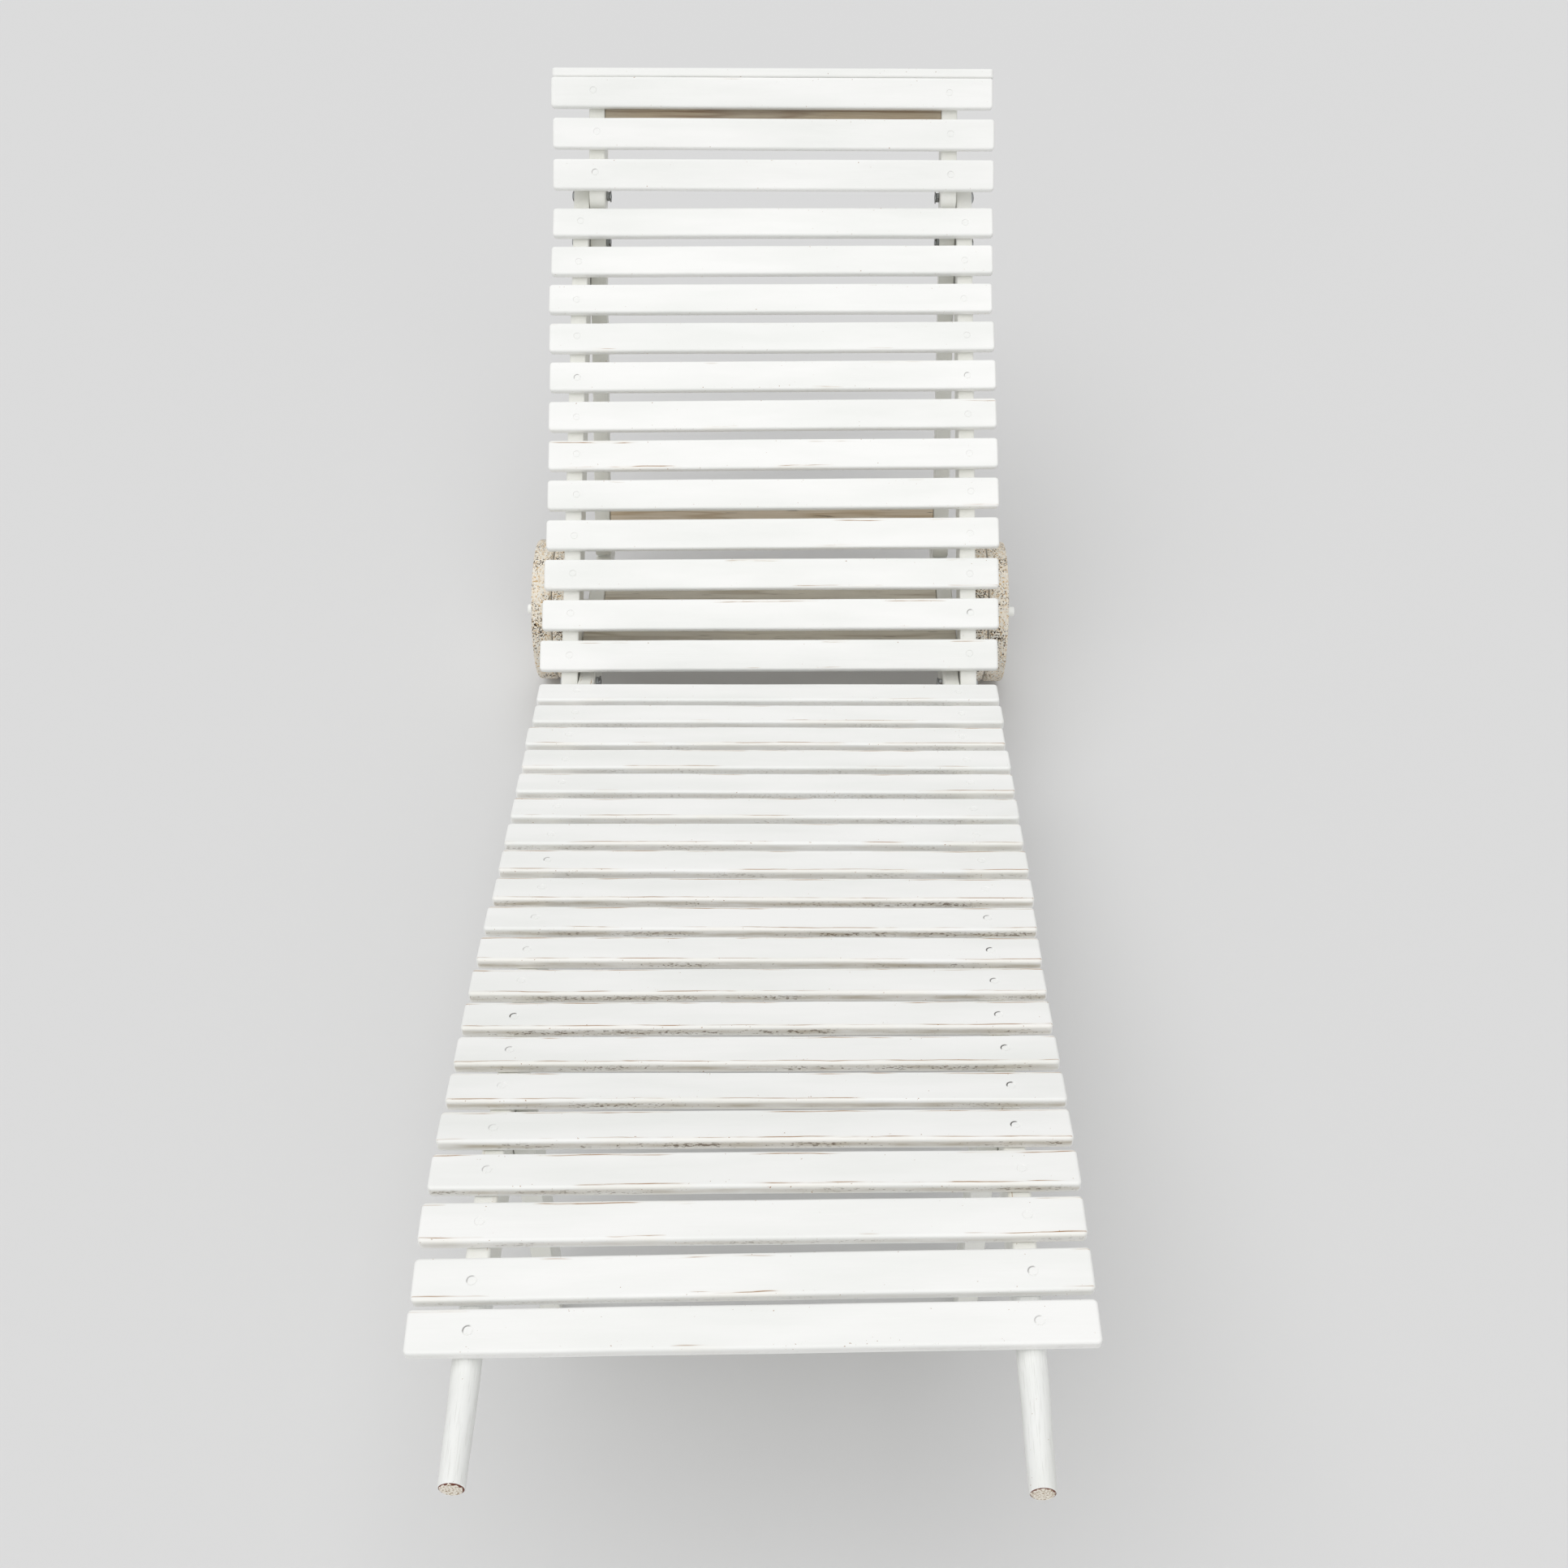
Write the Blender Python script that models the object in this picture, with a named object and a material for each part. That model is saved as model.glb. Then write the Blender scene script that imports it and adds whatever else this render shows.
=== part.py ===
"""Slatted wooden deck chair with two wheels, a reclining back, a tilting headrest and round handles.

Metres, +Z up, +Y from the foot end to the head end. Side positions are first laid out from the last
seat slat, at y = 0, and the whole chair then moves so that its box stands centred on the origin.
"""

import math

import bmesh
import bpy
from mathutils import Vector

# Slats
SEAT_SLATS = 20
BACK_SLATS = 12
HEAD_SLATS = 3
SEAT_SLAT_LENGTH = 0.600
BACK_SLAT_LENGTH = 0.618
SLAT_WIDTH = 0.042
SLAT_THICKNESS = 0.013
SLAT_CORNER = 0.008
SLAT_EDGE = 0.0035
SEAT_LENGTH = 1.040
FOOT_PITCH = 0.050
BACK_PITCH = 0.0568
HEAD_PITCH = 0.0565
FIT = 0.0003
RUNNING = 0.001

# Long side rails, laid out from the last seat slat
RAIL_THICKNESS = 0.022
RAIL_DEPTH = 0.062
RAIL_EDGE = 0.003
RAIL_SPACING = 0.495
SEAT_END_HEIGHT = 0.180
SEAT_SLOPE = math.radians(12.3)
CREST_START = 0.820
CREST_LENGTH = 0.160
HANDLE_SLOPE = math.radians(-3.3)
HANDLE_DIAMETER = 0.024
HANDLE_LENGTH = 0.116
HANDLE_TAPER = 0.110
HANDLE_ROUNDING = 0.003
BASE_HEIGHT = 0.140
STEP_LENGTH = 0.073
RAIL_TAIL = 0.470

# Notched landing of the prop, at the rails' rear ends
LANDING_START = 0.285
LANDING_RAMP = 0.033
LANDING_DEPTH = 0.0265
NOTCH_DEPTH = 0.006
NOTCH_PITCH = 0.038
NOTCHES = 3
FIRST_NOTCH = 0.350

# Back
BACK_SLOPE = math.radians(35.2)
HINGE_Y = 0.0975
HINGE_BELOW_RAIL_TOP = 0.017
BACK_RAIL_DEPTH = 0.054
BACK_RAIL_BEYOND_HEADREST = 0.024
FIRST_BACK_SLAT = 0.030
RAIL_TOP_SLANT = 0.016

# Prop
PROP_PIVOT = 0.642
PROP_DEPTH = 0.028
PROP_FOOT_RADIUS = 0.012
PROP_FOOT_Y = 0.388
PROP_LIFT = 0.0023
CROSSBAR_FROM_FOOT = 0.050
CROSSBAR_HEIGHT = 0.034
CROSSBAR_THICKNESS = 0.020

# Headrest
HEAD_PIVOT = 0.7057
HEAD_PIVOT_RAISE = 0.0117
HEAD_TILT = math.radians(12.6)
HEAD_PLANE = 0.046
HEAD_RAIL_DEPTH = 0.050
FIRST_HEAD_SLAT = 0.020
TOP_SLAT_DROP = 0.004
HEAD_CROSSPIECE_START = 0.095
HEAD_CROSSPIECE_WIDTH = 0.040
HEAD_CROSSPIECE_THICKNESS = 0.022

# Wheels and axle
WHEEL_RADIUS = 0.100
WHEEL_THICKNESS = 0.049
INNER_PLY = 0.021
WHEEL_EDGE = 0.005
WHEEL_CLEARANCE = 0.0025
PLY_GROOVE = 0.0012
AXLE_Y = 0.279
AXLE_DIAMETER = 0.012
SPACER_DIAMETER = 0.030
CAP_DIAMETER = 0.018
CAP_HEIGHT = 0.004

# Boards between the rails
TIE_BOARD_START = 0.125
TIE_BOARD_WIDTH = 0.070
TIE_BOARD_THICKNESS = 0.012
TIE_BOARD_HOUSING = 0.004
AXLE_PLANK_WIDTH = 0.090
AXLE_PLANK_THICKNESS = 0.022
AXLE_PLANK_CLEARANCE = 0.010
BOARD_EDGE = 0.0015

# Front legs
LEG_FROM_SEAT_END = 0.795
LEG_WIDTH = 0.046
LEG_BELOW_SLATS = 0.012
STRETCHER_HEIGHT = 0.150
STRETCHER_DIAMETER = 0.024

# Hinge bolts
BOLT_DIAMETER = 0.008
BOLT_HEAD_DIAMETER = 0.018
BOLT_HEAD_HEIGHT = 0.004
NUT_DIAMETER = 0.015
NUT_HEIGHT = 0.006

ARC_STEPS = 8
ROUND_STEPS = 24
WHEEL_STEPS = 44
CORNER_STEPS = 3

HALF_RAIL = RAIL_THICKNESS / 2
INNER_X = RAIL_SPACING / 2
OUTER_X = INNER_X + RAIL_THICKNESS + RUNNING
BETWEEN_RAILS = RAIL_SPACING - RAIL_THICKNESS - 2 * FIT
WHEEL_INNER_FACE = OUTER_X + HALF_RAIL + WHEEL_CLEARANCE
HALF_BACK_RAIL = BACK_RAIL_DEPTH / 2
EVEN_PITCHES = SEAT_SLATS - 2
SEAT_PITCH = (SEAT_LENGTH - FOOT_PITCH) / EVEN_PITCHES
HINGE_HEIGHT = BASE_HEIGHT - HINGE_BELOW_RAIL_TOP
TOOTH_HEIGHT = BASE_HEIGHT - LANDING_DEPTH
PROP_FOOT_HEIGHT = TOOTH_HEIGHT + PROP_LIFT + PROP_FOOT_RADIUS
SIDES = {"left": -1, "right": 1}


def make_material(name, color, roughness, metallic=0.0):
    material = bpy.data.materials.new(name)
    material.use_nodes = True
    shader = material.node_tree.nodes["Principled BSDF"]
    shader.inputs["Base Color"].default_value = (*color, 1.0)
    shader.inputs["Roughness"].default_value = roughness
    shader.inputs["Metallic"].default_value = metallic
    return material


def new_object(name, mesh, material, parent, location=(0, 0, 0), tilt=0.0):
    """Adds a node. tilt turns it about X, with its head end up."""
    if material.name not in [slot.name for slot in mesh.materials if slot]:
        mesh.materials.append(material)
    obj = bpy.data.objects.new(name, mesh)
    bpy.context.scene.collection.objects.link(obj)
    obj.parent = parent
    obj.location = location
    obj.rotation_euler = (tilt, 0, 0)
    return obj


def new_axis(name, parent, location=(0, 0, 0), tilt=0.0):
    axis = bpy.data.objects.new(name, None)
    bpy.context.scene.collection.objects.link(axis)
    axis.empty_display_size = 0.05
    axis.parent = parent
    axis.location = location
    axis.rotation_euler = (tilt, 0, 0)
    return axis


def mesh_from(bm, name, smooth_angle=35):
    bmesh.ops.recalc_face_normals(bm, faces=bm.faces)
    mesh = bpy.data.meshes.new(name)
    bm.to_mesh(mesh)
    bm.free()
    mesh.shade_smooth()
    mesh.set_sharp_from_angle(angle=math.radians(smooth_angle))
    return mesh


def arc(center, radius, start, end, steps):
    """Points of an arc in the side view, from one angle to another, in degrees."""
    points = []
    for step in range(steps + 1):
        angle = math.radians(start + (end - start) * step / steps)
        points.append((center[0] + radius * math.cos(angle), center[1] + radius * math.sin(angle)))
    return points


def board_mesh(name, outline, low, high, edge, axis="X", segments=1):
    """A board whose outline is extruded from low to high, with its long edges eased.

    The outline is in the side view (y, z) for axis X, and in the plan (x, y) for axis Z.
    """
    bm = bmesh.new()
    if axis == "X":
        corners = [Vector((low, y, z)) for y, z in outline]
        sweep = Vector((high - low, 0, 0))
    else:
        corners = [Vector((x, y, low)) for x, y in outline]
        sweep = Vector((0, 0, high - low))
    face = bm.faces.new([bm.verts.new(corner) for corner in corners])
    swept = bmesh.ops.extrude_face_region(bm, geom=[face])["geom"]
    bmesh.ops.translate(bm, vec=sweep, verts=[v for v in swept if isinstance(v, bmesh.types.BMVert)])
    caps = [f for f in bm.faces if len(f.verts) == len(outline)]
    rims = {e for cap in caps for e in cap.edges}
    bmesh.ops.recalc_face_normals(bm, faces=bm.faces)
    if edge > 0:
        bmesh.ops.bevel(bm, geom=list(rims), offset=edge, segments=segments, profile=0.5, affect="EDGES")
    return mesh_from(bm, name)


def rectangle(low, high):
    return [(low[0], low[1]), (high[0], low[1]), (high[0], high[1]), (low[0], high[1])]


def slat_mesh(name, length):
    """A slat along X with rounded corners and eased edges, centred on its lower face."""
    x = length / 2 - SLAT_CORNER
    y = SLAT_WIDTH / 2 - SLAT_CORNER
    outline = []
    for center, start in (((x, y), 0), ((-x, y), 90), ((-x, -y), 180), ((x, -y), 270)):
        outline += arc(center, SLAT_CORNER, start, start + 90, CORNER_STEPS)
    return board_mesh(name, outline, 0, SLAT_THICKNESS, SLAT_EDGE, axis="Z", segments=2)


def turned_mesh(name, profile, steps):
    """A piece turned about X from (x, radius) points. The profile ends on the axis, or else joins up."""
    bm = bmesh.new()
    rings = []
    for x, radius in profile:
        if radius == 0:
            rings.append([bm.verts.new((x, 0, 0))])
            continue
        ring = []
        for step in range(steps):
            angle = 2 * math.pi * step / steps
            ring.append(bm.verts.new((x, radius * math.cos(angle), radius * math.sin(angle))))
        rings.append(ring)
    if profile[0][1] != 0:
        rings.append(rings[0])
    for first, second in zip(rings, rings[1:]):
        for step in range(steps):
            after = (step + 1) % steps
            loop = [first[step % len(first)], first[after % len(first)]]
            loop += [second[after % len(second)], second[step % len(second)]]
            bm.faces.new(list(dict.fromkeys(loop)))
    return mesh_from(bm, name)


def seat_point(along):
    """Where the top edge of a side rail runs, from the seat's end towards the foot: (y, z, slope)."""
    straight = min(along, CREST_START)
    y = -straight * math.cos(SEAT_SLOPE)
    z = SEAT_END_HEIGHT + straight * math.sin(SEAT_SLOPE)
    if along <= CREST_START:
        return y, z, SEAT_SLOPE
    turn = SEAT_SLOPE - HANDLE_SLOPE
    radius = CREST_LENGTH / turn
    turned = min(along - CREST_START, CREST_LENGTH) / radius
    slope = SEAT_SLOPE - turned
    y -= radius * (math.sin(SEAT_SLOPE) - math.sin(slope))
    z += radius * (math.cos(slope) - math.cos(SEAT_SLOPE))
    rest = max(along - CREST_START - CREST_LENGTH, 0)
    return y - rest * math.cos(slope), z + rest * math.sin(slope), slope


HANDLE_START = SEAT_LENGTH + SLAT_WIDTH / 2
HANDLE_END = HANDLE_START + HANDLE_LENGTH


def step_height(y):
    """The rail's top edge behind the seat, where it drops to the base's level."""
    share = min(max((y - SLAT_WIDTH / 2) / STEP_LENGTH, 0), 1)
    eased = share * share * (3 - 2 * share)
    slope_height = SEAT_END_HEIGHT - y * math.tan(SEAT_SLOPE)
    return slope_height + (BASE_HEIGHT - slope_height) * eased


def rail_section(half_width, half_height, corner):
    """A rounded rectangle, or a circle when all three sizes are the same."""
    points = []
    for sx, sz, start in ((1, 1, 0), (-1, 1, 90), (-1, -1, 180), (1, -1, 270)):
        center = (sx * (half_width - corner), sz * (half_height - corner))
        points += arc(center, corner, start, start + 90, CORNER_STEPS)
    return points


def rail_stations():
    """Cross-sections of a side rail: (y, top height, half width, half height, corner radius)."""
    radius = HANDLE_DIAMETER / 2
    round_end = (radius, radius, radius)
    full = (HALF_RAIL, RAIL_DEPTH / 2, RAIL_EDGE)
    stations = []
    for inset in (1.0, 0.3, 0.0):
        small = radius - HANDLE_ROUNDING * inset
        y, z, _ = seat_point(HANDLE_END - HANDLE_ROUNDING * (1 - inset))
        stations.append((y, z - HANDLE_ROUNDING * inset, small, small, small))
    taper_end = HANDLE_START - HANDLE_TAPER
    for step in range(ARC_STEPS + 1):
        share = step / ARC_STEPS
        eased = share * share * (3 - 2 * share)
        y, z, _ = seat_point(HANDLE_START + (taper_end - HANDLE_START) * share)
        sizes = tuple(a + (b - a) * eased for a, b in zip(round_end, full))
        stations.append((y, z, *sizes))
    crest = taper_end - CREST_START
    for step in range(1, ARC_STEPS // 2 + 1):
        y, z, _ = seat_point(taper_end - crest * step * 2 / ARC_STEPS)
        stations.append((y, z, *full))
    stations.append((0.0, SEAT_END_HEIGHT, *full))
    for step in range(ARC_STEPS + 1):
        y = SLAT_WIDTH / 2 + STEP_LENGTH * step / ARC_STEPS
        stations.append((y, step_height(y), *full))
    stations.append((RAIL_TAIL - RAIL_EDGE, BASE_HEIGHT, *full))
    end = (HALF_RAIL - RAIL_EDGE, RAIL_DEPTH / 2 - RAIL_EDGE, RAIL_EDGE)
    stations.append((RAIL_TAIL, BASE_HEIGHT - RAIL_EDGE, *end))
    return stations


def side_rail_mesh(name):
    bm = bmesh.new()
    loops = []
    for y, top, half_width, half_height, corner in rail_stations():
        section = rail_section(half_width, half_height, min(corner, half_width, half_height))
        loops.append([bm.verts.new((x, y, top - half_height + z)) for x, z in section])
    count = len(loops[0])
    for first, second in zip(loops, loops[1:]):
        for index in range(count):
            after = (index + 1) % count
            bm.faces.new((first[index], first[after], second[after], second[index]))
    bm.faces.new(list(reversed(loops[0])))
    bm.faces.new(loops[-1])
    bmesh.ops.remove_doubles(bm, verts=bm.verts, dist=1e-6)
    return mesh_from(bm, name)


def cut(objects, cutter):
    """Takes the cutter's shape out of each object."""
    cutter.hide_render = True
    cutter.display_type = "WIRE"
    for obj in objects:
        modifier = obj.modifiers.new(cutter.name, "BOOLEAN")
        modifier.operation = "DIFFERENCE"
        modifier.solver = "EXACT"
        modifier.object = cutter


def bore(objects, name, parent, location, radius):
    """A round hole along X, right through every object given."""
    reach = OUTER_X + RAIL_THICKNESS
    hole = turned_mesh(name, [(-reach, 0), (-reach, radius), (reach, radius), (reach, 0)], ROUND_STEPS)
    cut(objects, new_object(name, hole, paint, parent, location))


def landing_cutter_outline():
    """Side view of what is cut from the rails' tails: a ramp, a level landing and saw-tooth notches."""
    ramp_end = LANDING_START + LANDING_RAMP
    above = BASE_HEIGHT + RAIL_DEPTH
    ramp_rise = (above - BASE_HEIGHT) * LANDING_RAMP / (BASE_HEIGHT - TOOTH_HEIGHT)
    outline = [(LANDING_START - ramp_rise, above), (ramp_end, TOOTH_HEIGHT)]
    for index in range(NOTCHES):
        front = FIRST_NOTCH + index * NOTCH_PITCH
        outline.append((front, TOOTH_HEIGHT))
        outline.append((front + NOTCH_DEPTH / 2, TOOTH_HEIGHT - NOTCH_DEPTH))
        outline.append((front + NOTCH_DEPTH / 2 + NOTCH_PITCH / 3, TOOTH_HEIGHT - NOTCH_DEPTH))
        outline.append((front + NOTCH_PITCH - NOTCH_DEPTH, TOOTH_HEIGHT))
    tail = RAIL_TAIL + RAIL_DEPTH
    return outline + [(tail, TOOTH_HEIGHT), (tail, above)]


def back_rail_outline():
    end = HEAD_PIVOT + BACK_RAIL_BEYOND_HEADREST
    half = HALF_BACK_RAIL
    outline = arc((0, 0), half, 90, 270, 2 * ARC_STEPS)
    return outline + [(end - RAIL_TOP_SLANT, -half), (end, -half + RAIL_TOP_SLANT), (end, half)]


def prop_outline(length):
    """An arm that runs from its pivot to its rounded foot, along -Y."""
    outline = arc((0, 0), PROP_DEPTH / 2, -90, 90, ARC_STEPS)
    return outline + arc((-length, 0), PROP_FOOT_RADIUS, 90, 270, ARC_STEPS)


def head_rail_outline(end):
    top = HEAD_PLANE - SLAT_THICKNESS - FIT
    half = HEAD_RAIL_DEPTH / 2
    outline = arc((0, top - half), half, 90, 270, 2 * ARC_STEPS)
    bottom = top - 2 * half
    return outline + [(end - RAIL_TOP_SLANT, bottom), (end, bottom + RAIL_TOP_SLANT), (end, top)]


def wheel_profile():
    """From the bore round the outside, with a groove between the two plies."""
    bore_radius = AXLE_DIAMETER / 2 + FIT
    inner = WHEEL_INNER_FACE
    outer = WHEEL_INNER_FACE + WHEEL_THICKNESS
    joint = inner + INNER_PLY
    rim = WHEEL_RADIUS
    eased = WHEEL_EDGE * 0.3
    return [
        (inner, bore_radius),
        (inner, rim - WHEEL_EDGE),
        (inner + eased, rim - eased),
        (inner + WHEEL_EDGE, rim),
        (joint - PLY_GROOVE / 2, rim),
        (joint, rim - PLY_GROOVE),
        (joint + PLY_GROOVE / 2, rim),
        (outer - WHEEL_EDGE, rim),
        (outer - eased, rim - eased),
        (outer, rim - WHEEL_EDGE),
        (outer, bore_radius),
    ]


def axle_profile():
    """A rod with a spacer inside each wheel and a domed cap nut outside it."""
    rod = AXLE_DIAMETER / 2
    spacer = SPACER_DIAMETER / 2
    cap = CAP_DIAMETER / 2
    rail_face = INNER_X + HALF_RAIL + FIT
    wheel_face = WHEEL_INNER_FACE - FIT
    seat = WHEEL_INNER_FACE + WHEEL_THICKNESS + FIT
    shoulder = seat + CAP_HEIGHT * 0.5
    dome = seat + CAP_HEIGHT * 0.85
    right = [(rail_face, rod), (rail_face, spacer), (wheel_face, spacer), (wheel_face, rod)]
    right += [(seat, rod), (seat, cap), (shoulder, cap), (dome, cap * 0.7), (seat + CAP_HEIGHT, 0)]
    return [(-x, radius) for x, radius in reversed(right)] + right


def bolt_profile():
    """Head outside the outer rail, shank through both rails and a nut inside the inner one."""
    shank = BOLT_DIAMETER / 2
    head = BOLT_HEAD_DIAMETER / 2
    outside = OUTER_X + HALF_RAIL + FIT
    inside = INNER_X - HALF_RAIL - FIT
    return [
        (inside - NUT_HEIGHT, 0),
        (inside - NUT_HEIGHT, NUT_DIAMETER / 2),
        (inside, NUT_DIAMETER / 2),
        (inside, shank),
        (outside, shank),
        (outside, head),
        (outside + BOLT_HEAD_HEIGHT * 0.5, head),
        (outside + BOLT_HEAD_HEIGHT, head * 0.6),
        (outside + BOLT_HEAD_HEIGHT, 0),
    ]


def mirrored(profile):
    return [(-x, radius) for x, radius in profile]


def add_seat(chair):
    mesh = slat_mesh("seat_slat", SEAT_SLAT_LENGTH)
    for index in range(SEAT_SLATS):
        y, z, slope = seat_point(min(index * SEAT_PITCH, SEAT_LENGTH))
        lift = FIT
        place = (0, y + lift * math.sin(slope), z + lift * math.cos(slope))
        new_object(f"seat_slat_{index + 1:02d}", mesh, paint, chair, place, -slope)


def add_side_rails(chair):
    rails = []
    for side, sign in SIDES.items():
        mesh = side_rail_mesh("side_rail")
        place = (sign * INNER_X, 0, 0)
        rails.append(new_object(f"side_rail_{side}", mesh, paint, chair, place))
    reach = OUTER_X
    landing = board_mesh("landing_cutter", landing_cutter_outline(), -reach, reach, 0)
    cut(rails, new_object("landing_cutter", landing, paint, chair))
    low = (TIE_BOARD_START - FIT, BASE_HEIGHT - TIE_BOARD_HOUSING - FIT)
    high = (TIE_BOARD_START + TIE_BOARD_WIDTH + FIT, BASE_HEIGHT + RAIL_DEPTH)
    housing = board_mesh("housing_cutter", rectangle(low, high), -reach, reach, 0)
    cut(rails, new_object("housing_cutter", housing, paint, chair))
    return rails


def add_base(chair, rails):
    low = (TIE_BOARD_START, BASE_HEIGHT - TIE_BOARD_HOUSING)
    high = (TIE_BOARD_START + TIE_BOARD_WIDTH, BASE_HEIGHT - TIE_BOARD_HOUSING + TIE_BOARD_THICKNESS)
    reach = INNER_X + HALF_RAIL
    tie = board_mesh("tie_board", rectangle(low, high), -reach, reach, BOARD_EDGE)
    new_object("tie_board", tie, bare_wood, chair)

    plank_bottom = WHEEL_RADIUS + AXLE_DIAMETER / 2 + AXLE_PLANK_CLEARANCE
    low = (AXLE_Y - AXLE_PLANK_WIDTH / 2, plank_bottom)
    high = (AXLE_Y + AXLE_PLANK_WIDTH / 2, plank_bottom + AXLE_PLANK_THICKNESS)
    reach = BETWEEN_RAILS / 2
    plank = board_mesh("axle_plank", rectangle(low, high), -reach, reach, BOARD_EDGE)
    new_object("axle_plank", plank, bare_wood, chair)

    bore(rails, "axle_hole", chair, (0, AXLE_Y, WHEEL_RADIUS), AXLE_DIAMETER / 2 + FIT)
    center = (0, AXLE_Y, WHEEL_RADIUS)
    new_object("axle", turned_mesh("axle", axle_profile(), ROUND_STEPS), cap_paint, chair, center)
    for side, sign in SIDES.items():
        profile = wheel_profile() if sign > 0 else mirrored(wheel_profile())
        new_object(f"wheel_{side}", turned_mesh("wheel", profile, WHEEL_STEPS), wheel_wood, chair, center)


def add_front_legs(chair):
    y, top, _ = seat_point(LEG_FROM_SEAT_END)
    half = LEG_WIDTH / 2
    crown = arc((y, top - LEG_BELOW_SLATS - half), half, 0, 180, ARC_STEPS)
    outline = [(y - half, 0), (y + half, 0)] + crown
    outer = BETWEEN_RAILS / 2
    for side, sign in SIDES.items():
        faces = sorted((sign * outer, sign * (outer - RAIL_THICKNESS)))
        leg = board_mesh("front_leg", outline, faces[0], faces[1], BOARD_EDGE)
        new_object(f"front_leg_{side}", leg, paint, chair)
    reach = outer - RAIL_THICKNESS - FIT
    radius = STRETCHER_DIAMETER / 2
    rod = [(-reach, 0), (-reach, radius), (reach, radius), (reach, 0)]
    stretcher = turned_mesh("stretcher", rod, ROUND_STEPS)
    new_object("leg_stretcher", stretcher, paint, chair, (0, y, STRETCHER_HEIGHT))


def add_bolts(kind, objects, parent, location=(0, 0, 0)):
    """A pair of bolts on one axis, and the holes that they pass through."""
    for side, sign in SIDES.items():
        profile = bolt_profile() if sign > 0 else mirrored(bolt_profile())
        bolt = turned_mesh("bolt", profile, ROUND_STEPS // 2)
        new_object(f"{kind}_bolt_{side}", bolt, steel, parent, location)
    bore(objects, f"{kind}_holes", parent, location, BOLT_DIAMETER / 2 + FIT)


def add_back(chair, side_rails):
    axis = new_axis("back_axis", chair, (0, HINGE_Y, HINGE_HEIGHT), BACK_SLOPE)
    mesh = slat_mesh("back_slat", BACK_SLAT_LENGTH)
    for index in range(BACK_SLATS):
        along = FIRST_BACK_SLAT + index * BACK_PITCH
        new_object(f"back_slat_{index + 1:02d}", mesh, paint, axis, (0, along, HALF_BACK_RAIL + FIT))
    rails = []
    for side, sign in SIDES.items():
        low = sign * OUTER_X - HALF_RAIL
        rail = board_mesh("back_rail", back_rail_outline(), low, low + RAIL_THICKNESS, BOARD_EDGE)
        rails.append(new_object(f"back_rail_{side}", rail, paint, axis))
    add_bolts("back_hinge", side_rails + rails, axis)
    return axis, rails


def add_prop(back, back_rails):
    pivot_y = HINGE_Y + PROP_PIVOT * math.cos(BACK_SLOPE)
    pivot_z = HINGE_HEIGHT + PROP_PIVOT * math.sin(BACK_SLOPE)
    length = math.hypot(pivot_y - PROP_FOOT_Y, pivot_z - PROP_FOOT_HEIGHT)
    slope = math.atan2(pivot_z - PROP_FOOT_HEIGHT, pivot_y - PROP_FOOT_Y)
    axis = new_axis("prop_axis", back, (0, PROP_PIVOT, 0), slope - BACK_SLOPE)
    arms = []
    for side, sign in SIDES.items():
        low = sign * INNER_X - HALF_RAIL
        arm = board_mesh("prop_arm", prop_outline(length), low, low + RAIL_THICKNESS, BOARD_EDGE)
        arms.append(new_object(f"prop_arm_{side}", arm, paint, axis))
    low = (CROSSBAR_FROM_FOOT - length - CROSSBAR_HEIGHT / 2, -CROSSBAR_THICKNESS / 2)
    high = (CROSSBAR_FROM_FOOT - length + CROSSBAR_HEIGHT / 2, CROSSBAR_THICKNESS / 2)
    reach = BETWEEN_RAILS / 2
    bar = board_mesh("prop_crossbar", rectangle(low, high), -reach, reach, BOARD_EDGE)
    new_object("prop_crossbar", bar, bare_wood, axis)
    add_bolts("prop", back_rails + arms, axis)


def add_headrest(back, back_rails):
    axis = new_axis("headrest_axis", back, (0, HEAD_PIVOT, HEAD_PIVOT_RAISE), HEAD_TILT)
    mesh = slat_mesh("headrest_slat", BACK_SLAT_LENGTH)
    top = HEAD_PLANE - SLAT_THICKNESS
    for index in range(HEAD_SLATS):
        along = FIRST_HEAD_SLAT + index * HEAD_PITCH
        new_object(f"headrest_slat_{index + 1}", mesh, paint, axis, (0, along, top))
    end = FIRST_HEAD_SLAT + (HEAD_SLATS - 1) * HEAD_PITCH + HEAD_PITCH - SLAT_WIDTH / 2 - SLAT_EDGE
    drop = HEAD_PLANE - TOP_SLAT_DROP - SLAT_WIDTH / 2
    new_object("headrest_top_slat", mesh, paint, axis, (0, end + FIT, drop), math.radians(-90))
    rails = []
    for side, sign in SIDES.items():
        low = sign * INNER_X - HALF_RAIL
        rail = board_mesh("headrest_rail", head_rail_outline(end), low, low + RAIL_THICKNESS, BOARD_EDGE)
        rails.append(new_object(f"headrest_rail_{side}", rail, paint, axis))
    low = (HEAD_CROSSPIECE_START, top - FIT - HEAD_CROSSPIECE_THICKNESS)
    high = (HEAD_CROSSPIECE_START + HEAD_CROSSPIECE_WIDTH, top - FIT)
    reach = BETWEEN_RAILS / 2
    piece = board_mesh("headrest_crosspiece", rectangle(low, high), -reach, reach, BOARD_EDGE)
    new_object("headrest_crosspiece", piece, bare_wood, axis)
    add_bolts("headrest", back_rails + rails, axis)


def world_box():
    """The lowest and highest corner of every solid."""
    bpy.context.view_layer.update()
    graph = bpy.context.evaluated_depsgraph_get()
    corners = []
    for obj in bpy.context.scene.objects:
        if obj.type == "MESH" and not obj.hide_render:
            shown = obj.evaluated_get(graph)
            corners += [shown.matrix_world @ vertex.co for vertex in shown.data.vertices]
    low = Vector(min(corner[i] for corner in corners) for i in range(3))
    high = Vector(max(corner[i] for corner in corners) for i in range(3))
    return low, high


for item in list(bpy.data.objects):
    bpy.data.objects.remove(item, do_unlink=True)

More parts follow.
